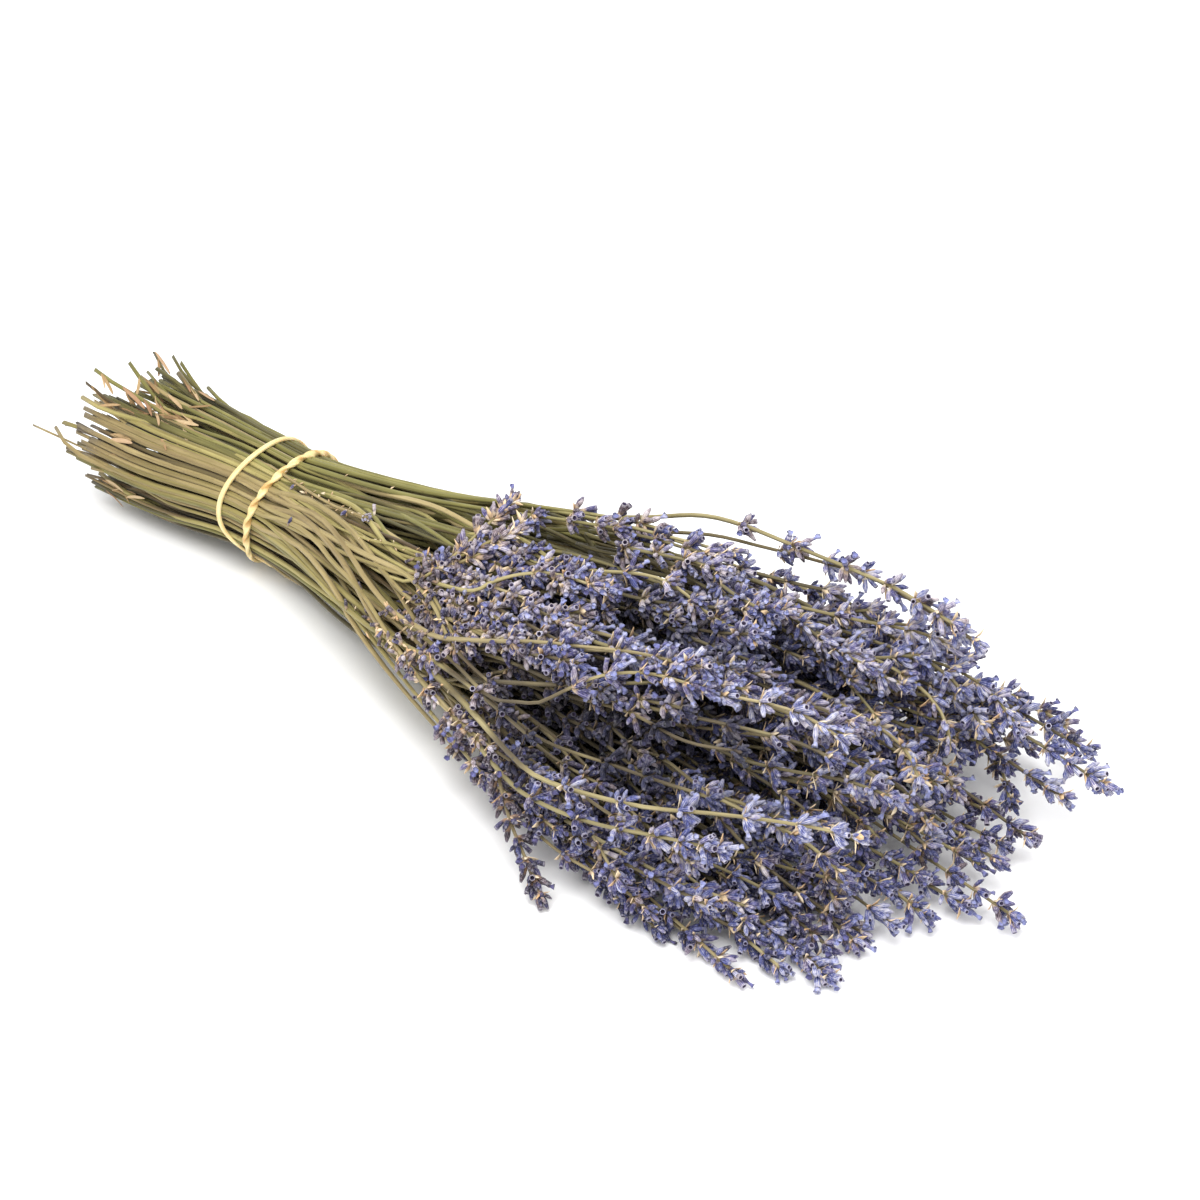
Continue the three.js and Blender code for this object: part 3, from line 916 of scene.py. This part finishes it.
cup = small_tube("open_cup", OPEN_CUP)
choose(cup, "FACE", lambda co, normal: normal.z > 0.9)
bpy.ops.mesh.inset(thickness=CUP_WALL)
bpy.ops.mesh.extrude_region_move(TRANSFORM_OT_translate={"value": (0, 0, -CUP_DEPTH)})
bpy.ops.transform.resize(value=(0.7, 0.7, 1))
editing(False)
rim = [v for v in cup.data.vertices if v.co.z > CUP_LENGTH - 0.01]
for vertex in rim:
    vertex.co.z += TOOTH * (0.5 + 0.5 * cos(3 * np.arctan2(vertex.co.y, vertex.co.x)))
leaned(cup)
for face in cup.data.polygons:
    height = face.center.z / CUP_LENGTH
    inward = height > 0.6 and face.normal.dot(Vector((face.center.x, face.center.y, 0))) < -0.1
    face.material_index = MOUTH if inward or (height < 0.9 and face.normal.z > 0.9) else CUP
cup_shape = Shape(cup)

bud = small_tube("closed_cup", CLOSED_CUP)
editing(False)
leaned(bud)
bud_shape = Shape(bud)

select_none()
bpy.ops.mesh.primitive_grid_add(x_subdivisions=2, y_subdivisions=2, size=1, location=(0, 0, 0.5),
                                rotation=(0, pi / 2, 0))
bract = drawn("bract")
bpy.ops.transform.resize(value=(1, BRACT_WIDTH, BRACT_LENGTH))
bract = drawn("bract")
editing(True)
choose(bract, "VERT", lambda co, normal: co.z > 0.9 * BRACT_LENGTH)
bpy.ops.transform.resize(value=(1, 0.12, 1))
choose(bract, "VERT", lambda co, normal: co.z < 0.1 * BRACT_LENGTH)
bpy.ops.transform.resize(value=(1, 0.40, 1))
choose(bract, "VERT", lambda co, normal: abs(co.y) > 0.3 * BRACT_WIDTH)
bpy.ops.transform.translate(value=(-0.35, 0, 0))
editing(False)
thickened(bract, BRACT_WALL)
bract_shape = Shape(bract)

select_none()
bpy.ops.mesh.primitive_cone_add(vertices=5, radius1=0.55, radius2=0.95, depth=PETAL_LENGTH,
                                location=(0, 0, PETAL_LENGTH / 2))
petal = drawn("dried_petals")
editing(True)
cut_into_rings(2, [0.55 * PETAL_LENGTH])
choose(petal, "VERT", lambda co, normal: 0.3 * PETAL_LENGTH < co.z < 0.8 * PETAL_LENGTH)
bpy.ops.transform.resize(value=(1.15, 0.75, 1))
bpy.ops.transform.rotate(value=0.7, orient_axis="Z", center_override=(0, 0, 0))
choose(petal, "VERT", lambda co, normal: co.z > 0.9 * PETAL_LENGTH and co.x > 0)
bpy.ops.transform.translate(value=(0.5, 0, -0.5))
choose(petal, "FACE", lambda co, normal: normal.z > 0.6)
bpy.ops.mesh.inset(thickness=0.30)
bpy.ops.transform.translate(value=(0, 0, -0.9))
editing(False)
petal_shape = Shape(petal)

petal_finish = Finish("dried_petal", Roughness=0.8, Sheen_Weight=0.2)
own = petal_finish.carried("own")
tint, hue, painted_shade = petal_finish.looks()
crease = petal_finish.streaks(own, (1.4, 1.4, 0.5), 2.0, hue * 44)
petals_dye = petal_finish.dyed((tint * 0.65 + crease * 0.8 - 0.25).clipped(), (0.0, 66, 54, 84),
                               (0.35, 104, 104, 158), (0.70, 148, 154, 200), (1.0, 200, 196, 212))
# Painted shade: petals inside the head, under it and in hollows are mixed towards near black; their tint
# carries the whorl's painted light.
petal_finish.feed(Base_Color=petal_finish.mixed(painted_shade, petals_dye, dye(20, 17, 30)),
                  Roughness=0.70 + crease * 0.2, Normal=petal_finish.bumped(crease, 0.25 * MM))

cup_finish = Finish("flower_cup_felt", Roughness=0.88, Sheen_Weight=0.10, Sheen_Roughness=0.5)
cup_finish.surface.inputs["Sheen Tint"].default_value = dye(200, 200, 226)
own = cup_finish.carried("own")
# The first number is the cup's own tone with the whorl's painted light and shade added; the third is how much
# painted shade it gets.
tint, hue, painted_shade = cup_finish.looks()
x, y, z = cup_finish.parts(own)
up_cup = z * (1 / CUP_LENGTH)
turn = cup_finish.maths("ARCTAN2", y, x)
rib = cup_finish.maths("SINE", turn * RIBS) * 0.5 + 0.5
mottle = cup_finish.cloud(own, 0.55, 3.0, hue * 70)
fuzz = cup_finish.streaks(own, (3.2, 3.2, 1.6), 2.0, tint * 31)
# The ridges of the ribs are drawn lighter and the grooves between them darker: painted highlight and painted
# shade, on top of the ribs' bump.
shade = (tint * 0.74 + mottle * 1.7 - 0.88 + rib * rib * 0.36).clipped()
violet = cup_finish.dyed(shade, (0.0, 24, 21, 44), (0.25, 50, 47, 87), (0.50, 79, 74, 124),
                         (0.75, 128, 123, 166), (1.0, 208, 201, 204))
blue = cup_finish.dyed(shade, (0.0, 20, 22, 48), (0.25, 42, 47, 95), (0.50, 67, 73, 134),
                       (0.75, 116, 122, 171), (1.0, 203, 201, 210))
mauve = cup_finish.dyed(shade, (0.0, 32, 23, 34), (0.25, 68, 56, 66), (0.50, 120, 102, 108),
                        (0.75, 168, 153, 156), (1.0, 216, 207, 210))
body = cup_finish.mixed(((hue - 0.22) * 6.0).clipped(), mauve, violet)
body = cup_finish.mixed(((hue - 0.62) * 6.0).clipped(), body, blue)
foot = cup_finish.dyed(tint, (0.0, 170, 136, 104), (0.5, 216, 190, 156), (1.0, 234, 220, 196))
foot_end = 0.55 - hue * 0.32
body = cup_finish.mixed(((foot_end - up_cup) * 3.8 + (mottle - 0.5) * 2.5).clipped(), body, foot)
# Painted shade: cups inside the head, under it and in hollows are mixed towards near black, and lit dims
# their pale rims and hairs with it.
body = cup_finish.mixed(painted_shade * 0.92, body, dye(13, 11, 31))
lit = 1.0 - painted_shade * 0.8
body = cup_finish.mixed(((up_cup - 0.88) * 12.0).clipped() * 0.40 * lit, body, dye(196, 190, 200))
body = cup_finish.mixed(((fuzz - 0.54) * 6.0).clipped() * 0.60 * lit, body, dye(205, 199, 204))
cup_finish.feed(Base_Color=body, Roughness=0.80 + mottle * 0.18,
                Normal=cup_finish.bumped(rib + fuzz * 0.6, 0.16 * MM, 0.9))

mouth_finish = Finish("flower_cup_inside", Roughness=0.9)
lint = mouth_finish.cloud(mouth_finish.carried("own"), 2.2, 2.0)
mouth_finish.feed(Base_Color=mouth_finish.dyed(lint, (0.35, 36, 29, 48), (0.75, 80, 68, 100)))

bract_finish = Finish("papery_bract", Roughness=0.75)
own = bract_finish.carried("own")
tint, hue, painted_shade = bract_finish.looks()
vein = bract_finish.streaks(own, (1.0, 2.6, 0.35), 2.0, hue * 50)
paper = bract_finish.dyed((tint * 0.75 + vein * 0.6 - 0.12).clipped(), (0.05, 140, 92, 52),
                          (0.30, 204, 160, 112), (0.60, 226, 198, 158), (1.0, 240, 224, 194))
# Painted shade: bracts inside the head, under it and in hollows are mixed towards dark brown.
bract_finish.feed(Base_Color=bract_finish.mixed(painted_shade, paper, dye(52, 40, 36)),
                  Roughness=0.62 + vein * 0.25, Normal=bract_finish.bumped(vein, 0.12 * MM))


def round_stalk(course, along, openings, reach, unevenness):
    """Feet and axes of shapes that stand round a stalk, each leaning away from it by its opening."""
    count = len(along)
    point, forward, across, third = course.at(np.clip(along, 0, course.length))
    turns = np.arange(count) * tau / count + chance.uniform(0, tau) + chance.normal(0, unevenness, count)
    outward = across * np.cos(turns)[:, None] + third * np.sin(turns)[:, None]
    axis = forward * np.cos(openings)[:, None] + outward * np.sin(openings)[:, None]
    aside = outward * np.cos(openings)[:, None] - forward * np.sin(openings)[:, None]
    return point + outward * reach, np.stack([aside, np.cross(axis, aside), axis], axis=1)


def put_at(heap, shape, feet, axes, sizes, looks, finish):
    """Adds copies of a shape with their feet, axes and sizes, above the table."""
    points = feet[:, None, :] + np.einsum("pi,kij->kpj", shape.points, axes) * sizes[:, None, None]
    points[..., 2] = above_table(points[..., 2], LEAST_HEIGHT)
    heap.put(shape, points, shape.points[None], looks, finish)


def whorls_along(course):
    """Lengths along the stalk of its whorls, from the tip down."""
    u, v = course.disc_place(170)
    angle = np.degrees(np.arctan2(v, u)) % 360
    room = max(course.length - course.where_x(np.interp(angle, *FIRST_FLOWERS)), 12)
    reach = course.flowering or min(chance.uniform(*SPIKE_LENGTH), room)
    spots = [course.length - 1.0]
    step = 6.0 if course.bare else chance.uniform(*WHORL_STEP)
    while course.length - spots[-1] + step < reach:
        spots.append(spots[-1] - step)
        if course.bare:
            step = chance.uniform(*BARE_STEP)
        else:
            step = min(step * chance.uniform(*(DENSE_GROWTH if course.dense else WHORL_GROWTH)), LONGEST_STEP)
    return spots


def painted_light_and_hue(middle, light, hue):
    """How light and how blue the cups of a whorl are: painted light towards the tips, more on the higher
    ones, and on the top of the crown, painted shade underneath, and redder near the band."""
    x, _, z = middle
    light += 0.32 * smooth_step(x, 255, 310) * (0.55 + 0.45 * smooth_step(z, 20, 44))
    crown = smooth_step(x, 180, 225) * (1 - smooth_step(x, 262, 300))
    light += (0.10 + 0.18 * crown) * smooth_step(z, 54, 74)
    light -= 0.28 * (1 - smooth_step(z, 16, 46)) * (1 - smooth_step(x, 320, 345))
    hue -= 0.50 * (1 - smooth_step(x, 170, 235)) * (1 - 0.65 * smooth_step(z, 56, 70))
    return light, hue + 0.14 * smooth_step(x, 220, 300)


def flower_heads(heap, course):
    """Puts all whorls of one stalk: the bracts, then the cups, then the petals that some still hold."""
    mood = chance.normal(0.02, 0.15)
    hue_mood = chance.uniform(0.30, 0.92)
    smaller = 0.6 if course.bare else 1.0
    for number, spot in enumerate(whorls_along(course)):
        is_tip = number == 0
        middle = course.at(spot)[0][0]
        if in_hollow(middle) and not is_tip:
            continue
        depth = float(np.hypot(*place_in_disc(middle)))
        # Painted shade for a whorl deep in the head, under it or in a hollow, and painted light and shade by
        # its height and place.
        painted_shade = float(painted_shade_at(middle[None])[0])
        light, hue = painted_light_and_hue(middle, mood, hue_mood)

        count = 2 if course.bare else int(chance.integers(*BRACTS_IN_WHORL))
        papers = np.stack([chance.uniform(0.3, 1, count), chance.random(count),
                           np.full(count, painted_shade)], axis=1)
        openings = np.radians(chance.uniform(*BRACTS_LEAN, count))
        sizes = chance.uniform(*BRACT_SIZES, count) * (0.4 if course.bare else 1.0)
        feet, axes = round_stalk(course, np.full(count, spot - 1.2), openings, WHORL_REACH, 0.22)
        put_at(heap, bract_shape, feet, axes, sizes, papers, PAPER)
        if course.bare and not is_tip:
            continue

        count = int(chance.integers(*CUPS_IN_WHORL))
        if depth < SHELTERED:
            count = max(4, count - 5)
        along = spot + chance.uniform(-1.8, 1.8, count) - (1.0 if is_tip else 0)
        openings = np.radians(chance.uniform(*(TIP_LEAN if is_tip else CUPS_LEAN), count))
        sizes = chance.uniform(*CUP_SIZES, count) * (0.85 if is_tip else 1.0) * smaller
        tints_with_painted_light = np.stack([chance.normal(0.49 + light, 0.28, count), chance.normal(hue, 0.22, count),
                         np.full(count, painted_shade)], axis=1).clip(0, 1)
        if course.bare:
            tints_with_painted_light[:, 0] = 1.0
        is_open = chance.random(count) < (OPEN_CUPS if depth > SHELTERED else 0.0)
        feet, axes = round_stalk(course, along, openings, WHORL_REACH * 0.7, 0.25)
        for shape, group in ((cup_shape, is_open), (bud_shape, ~is_open)):
            if np.any(group):
                put_at(heap, shape, feet[group], axes[group], sizes[group], tints_with_painted_light[group], CUP)

        on_crown = 180 < middle[0] < 275 and middle[2] > 68 and middle[1] < 12
        holds_petals = chance.random(count) < (CROWN_PETALS if on_crown else PETALS)
        if np.any(holds_petals):
            mouths = feet + axes[:, 2] * sizes[:, None] * (CUP_LENGTH - 1.0)
            put_at(heap, petal_shape, mouths[holds_petals], axes[holds_petals], sizes[holds_petals],
                   tints_with_painted_light[holds_petals], PETAL)


for lock in range(len(locks)):
    heap = Heap()
    for course, look in zip(courses, looks):
        if course.flower_lock == lock:
            flower_heads(heap, course)
            lay_stalk(heap, course, look.flowers, course.length, look, 0, STALK)
    label = f"{lock + 1:02d}"
    piece = heap.made(f"lavender_spikes_{label}", cup_finish.material, mouth_finish.material,
                      bract_finish.material, stem_finish.material, pith_finish.material,
                      petal_finish.material)
    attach(piece, "root")
    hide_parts(f"flower_spikes_{label}")


# ---------------------------------------------------------------------------------------------
# Loose bits caught between the stems of the near side: single cups, some of them gone pale, and
# small heaps of papery bracts rubbed off the spikes. Each lies on a stalk.

# x, the angle round the bunch, cups, bracts, and how pale they are.
CAUGHT = ((31, 150, 1, 0, 0.2), (90, 160, 2, 1, 0.2), (104, 168, 2, 2, 0.3), (117, 161, 3, 3, 0.3),
          (124, 143, 4, 2, 0.3), (119, 124, 3, 2, 0.3), (115, 166, 0, 7, 0.5), (126, 164, 1, 7, 0.5),
          (138, 162, 3, 7, 0.5), (151, 155, 3, 5, 0.6), (154, 159, 2, 1, 1.0), (160, 164, 2, 3, 1.0),
          (71, 119, 2, 0, 1.0), (59, 121, 1, 1, 0.6), (146, 170, 4, 5, 0.4), (132, 152, 5, 3, 0.2),
          (140, 146, 6, 2, 0.2), (148, 140, 6, 3, 0.3), (24, 128, 1, 2, 0.6), (134, 146, 5, 2, 0.2),
          (116, 156, 4, 5, 0.3), (124, 156, 4, 6, 0.4), (132, 160, 5, 6, 0.5), (140, 164, 5, 4, 0.4),
          (120, 150, 5, 3, 0.2), (130, 140, 5, 3, 0.2), (136, 134, 5, 2, 0.2), (128, 130, 4, 2, 0.2),
          (66, 92, 0, 2, 0.6), (40, 108, 0, 3, 0.7), (144, 150, 5, 3, 0.3))


stalk_points = np.concatenate([course.points for course in courses])
stalk_ways = np.concatenate([course.forward for course in courses])
stalk_u, stalk_v = places_in_discs(stalk_points)


def on_stalk(x, angle):
    """A point on the skin of an outer stalk, and the directions along it, round the bunch and outward."""
    aside = np.abs((np.arctan2(stalk_v, stalk_u) - angle + pi) % tau - pi)
    reach = np.minimum(np.hypot(stalk_u, stalk_v), 1.05)
    nearest = np.argmin(2 * aside - reach + 0.3 * np.abs(stalk_points[:, 0] - x))
    ahead = stalk_ways[nearest]
    outward = np.array([0.0, cos(angle), sin(angle)])
    outward = unit(outward - ahead * np.dot(outward, ahead))
    return stalk_points[nearest] + outward * 0.9 * STEM_RADIUS, ahead, np.cross(outward, ahead), outward


def level_axes(axis, outward):
    """An axis at its unit length, and the level direction across it."""
    axis = unit(axis)
    return axis, unit(np.cross(outward, axis))


def dropped(heap, shape, x, angle, scatter, lift, size, looks, finish):
    """Lays one loose copy on a stalk near a place, turned any way but nearly flat."""
    place = (x + chance.normal(0, scatter), angle + chance.normal(0, scatter) / 45)
    point, ahead, aside, outward = on_stalk(*place)
    heading = chance.uniform(0, tau)
    axis, side = level_axes(ahead * cos(heading) + aside * sin(heading) + outward * chance.uniform(*lift),
                            outward)
    put_at(heap, shape, point[None], np.stack([np.cross(side, axis), side, axis])[None],
           np.array([size]), np.array([looks]), finish)


heap = Heap()
for x, angle, cups, bracts, pale in CAUGHT:
    for _ in range(cups):
        # The first number is how faded a cup is; the third is painted shade, darker for the less pale cups
        # and a little for the bracts.
        fade_and_painted_shade = (float(np.clip(chance.normal(pale, 0.15), 0, 1)), chance.uniform(0.0, 0.5), 0.35 * (1 - pale))
        dropped(heap, cup_shape if chance.random() < 0.5 else bud_shape, x, radians(angle), 1.8,
                (0.1, 0.7), chance.uniform(0.6, 0.85), fade_and_painted_shade, CUP)
    for _ in range(bracts):
        dropped(heap, bract_shape, x, radians(angle), 2.4, (0.0, 0.9), chance.uniform(0.35, 0.75),
                (chance.uniform(0.2, 0.9), chance.random(), 0.1), PAPER)
piece = heap.made("caught_flowers", cup_finish.material, mouth_finish.material, bract_finish.material)
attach(piece, "root")


# ---------------------------------------------------------------------------------------------
# Scraps of leaf at the cut ends. Where the lowest leaves were torn off, narrow curled scraps,
# tan to pinkish brown, are left on and between the stems.
LEAF_LENGTH = 13.0
LEAF_WIDTH = 1.7
LEAF_WALL = 0.22
LEAF_CURL = 2.2
LEAF_BEND = 2.0
# Where they gather: how many, middle and spread of x, and middle and spread of the angle.
SCRAPS = ((40, -78, 11, 96, 18), (16, -66, 11, 118, 14), (14, -84, 7, 196, 9), (8, -84, 6, 150, 16))

select_none()
bpy.ops.mesh.primitive_grid_add(x_subdivisions=2, y_subdivisions=6, size=1, location=(0, 0.5, 0))
leaf = drawn("leaf_scrap")
bpy.ops.transform.resize(value=(LEAF_WIDTH, LEAF_LENGTH, 1))
leaf = drawn("leaf_scrap")
for vertex in leaf.data.vertices:
    along = vertex.co.y / LEAF_LENGTH
    vertex.co.x *= 0.25 + 1.5 * (along * (1 - along)) ** 0.5
    vertex.co.z += 0.8 * LEAF_WIDTH * (vertex.co.x / LEAF_WIDTH) ** 2 + LEAF_CURL * along ** 2
    vertex.co.x += LEAF_BEND * along ** 2
editing(True)
bpy.ops.mesh.select_all(action="SELECT")
bpy.ops.transform.rotate(value=pi / 2, orient_axis="X", center_override=(0, 0, 0))
editing(False)
thickened(leaf, LEAF_WALL)
leaf_shape = Shape(leaf)

leaf_finish = Finish("dry_leaf", Roughness=0.8)
own = leaf_finish.carried("own")
tone, hue, seed = leaf_finish.looks()
vein = leaf_finish.streaks(own, (2.0, 2.0, 0.25), 3.0, seed * 30)
shade = (tone * 0.7 + vein * 0.6 - 0.15).clipped()
tan = leaf_finish.dyed(shade, (0.0, 92, 66, 38), (0.5, 160, 130, 88), (1.0, 206, 184, 144))
pinkish = leaf_finish.dyed(shade, (0.0, 96, 64, 44), (0.5, 160, 122, 90), (1.0, 200, 170, 138))
leaf_finish.feed(Base_Color=leaf_finish.mixed(hue, tan, pinkish), Roughness=0.7 + vein * 0.2,
                 Normal=leaf_finish.bumped(vein, 0.2 * MM))

heap = Heap()
for count, x, spread, angle, angle_spread in SCRAPS:
    for _ in range(count):
        spot = (x + chance.normal(0, spread), radians(angle + chance.normal(0, angle_spread)))
        point, ahead, aside, outward = on_stalk(*spot)
        axis, side = level_axes(-ahead + aside * chance.normal(0, 0.35) + outward * chance.uniform(0.0, 0.45),
                                outward)
        put_at(heap, leaf_shape, point[None], np.stack([side, np.cross(axis, side), axis])[None],
               np.array([chance.uniform(0.5, 1.15)]),
               np.array([(chance.random(), chance.random() ** 2, chance.random())]), 0)
piece = heap.made("leaf_scraps", leaf_finish.material)
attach(piece, "root")


# ---------------------------------------------------------------------------------------------
# The rubber band. One flat cream strip of rubber, closed on itself and wrapped twice round the
# stems. Its first turn lies flat and its second is twisted, and they cross low on the near side.
STRIP_WIDTH = 2.2
STRIP_THICKNESS = 1.3
STRIP_LENGTH = 330
STRIP_EDGE = 0.35
STRIP_RINGS = 300
SEAM = 0.02 * MM
# Where the strip is twisted, as shares of its length, how many half turns, and how it swells there.
TWIST = (0.26, 0.74)
TWISTS = 18
TWIST_FADE = 0.05
TWIST_SWELL = (0.45, 0.30)
TWIST_RISE = 0.3
# The sheaf's middle height and radius under the band, and how far above it the strip's middle lies.
WAIST_HEIGHT = 29.5
WAIST_RADIUS = 25.5
BAND_LIFT = 0.52
TURN_OFFSET = 9.5
BAND_SHIFT = -2.5
BAND_SWAY = 3.5
SWAY_ANGLE = radians(100)
# Where the turns cross, one over the other, and where the band sinks between the stems.
CROSSING_ANGLE = radians(226)
CROSSING_SHARPNESS = 4
CROSSING_WIDTH = 0.3
CROSSING_LIFT = 1.6
SINK_ANGLE = radians(49)
SINK = 0.6

select_none()
bpy.ops.mesh.primitive_cube_add(size=1, location=(0.5, 0, 0))
strip = drawn("rubber_strip")
editing(True)
bpy.ops.transform.resize(value=(1, STRIP_WIDTH, STRIP_THICKNESS))
choose(strip, "FACE", lambda co, normal: abs(normal.x) > 0.9)
bpy.ops.mesh.delete(type="FACE")
bpy.ops.mesh.select_mode(type="EDGE")
bpy.ops.mesh.select_all(action="DESELECT")
bpy.ops.mesh.select_non_manifold()
bpy.ops.mesh.select_all(action="INVERT")
bpy.ops.mesh.bevel(offset=STRIP_EDGE, segments=2, affect="EDGES")
cut_into_rings(0, [ring / STRIP_RINGS for ring in range(1, STRIP_RINGS)])
editing(False)
strip_shape = Shape(strip)


def band_course(t):
    """The strip's middle line over its length from 0 to 1."""
    turn = t * 2 * tau
    side = np.cos(turn / 2)
    angle = turn + CROSSING_ANGLE - pi
    spread = np.tanh(CROSSING_SHARPNESS * side) / np.tanh(CROSSING_SHARPNESS)
    over = np.where(np.sin(turn / 2) > 0, np.exp(-(side / CROSSING_WIDTH) ** 2), 0)
    sunk = SINK * np.exp(8 * (np.cos(angle - SINK_ANGLE) - 1))
    reach = 1 + (BAND_LIFT + over * CROSSING_LIFT - sunk) / WAIST_RADIUS
    x = TURN_OFFSET * spread + BAND_SHIFT + BAND_SWAY * np.cos(2 * (angle - SWAY_ANGLE))
    return place_in_bunch(x, reach * np.cos(angle), reach * np.sin(angle))


t, y, z = strip_shape.points.T
step = 1e-4
point = band_course(t)
forward = unit(band_course((t + step) % 1) - band_course((t - step) % 1))
outward = point - np.array([0, 0, WAIST_HEIGHT])
outward[:, 0] = 0
outward = unit(outward - forward * np.sum(outward * forward, axis=1)[:, None])
aside = np.cross(outward, forward)
half_way = (t + 0.5) % 1
twisted = smooth_step(half_way, TWIST[0], TWIST[0] + TWIST_FADE)
twisted *= 1 - smooth_step(half_way, TWIST[1] - TWIST_FADE, TWIST[1])
turn = pi * TWISTS * np.clip((half_way - TWIST[0]) / (TWIST[1] - TWIST[0]), 0, 1)
wide = y * (1 + TWIST_SWELL[0] * twisted)
thick = z * (1 + TWIST_SWELL[1] * twisted)
side = wide * np.cos(turn) - thick * np.sin(turn)
rise = wide * np.sin(turn) + thick * np.cos(turn)
laid = point + aside * side[:, None] + outward * (rise + TWIST_RISE * twisted)[:, None]
own = np.stack([t * STRIP_LENGTH, y, twisted * np.sin(turn) ** 2], axis=1)
heap = Heap()
heap.put(strip_shape, laid[None], own[None], np.array([(0.5, 0.5, 0.0)]), 0)

rubber_finish = Finish("cream_rubber", Roughness=0.42, Subsurface_Weight=0.12)
rubber_finish.surface.inputs["Subsurface Scale"].default_value = 0.002
own = rubber_finish.carried("own")
# Painted shade: the twisted turn is drawn darker and more tan where the strip stands on edge, between the
# bright lobes of its twist.
painted_groove_shade = rubber_finish.parts(own)[2]
grime = rubber_finish.streaks(own, (0.12, 0.6, 0.6), 3.0)
chalk = rubber_finish.cloud(own, 3.0, 2.0)
rubber = rubber_finish.dyed((grime * 1.1 - 0.1 - painted_groove_shade * 0.30).clipped(), (0.05, 196, 154, 90),
                            (0.30, 220, 194, 134), (0.60, 230, 213, 160), (0.85, 237, 225, 182))
rubber_finish.feed(Base_Color=rubber, Roughness=0.36 + chalk * 0.25,
                   Normal=rubber_finish.bumped(chalk, 0.05 * MM))
band = heap.made("rubber_band", rubber_finish.material)
select_none()
bpy.context.view_layer.objects.active = band
band.select_set(True)
editing(True)
bpy.ops.mesh.select_all(action="SELECT")
bpy.ops.mesh.remove_doubles(threshold=SEAM)
bpy.ops.mesh.normals_make_consistent(inside=False)
editing(False)
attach(band, "root")
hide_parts("elastic_band")
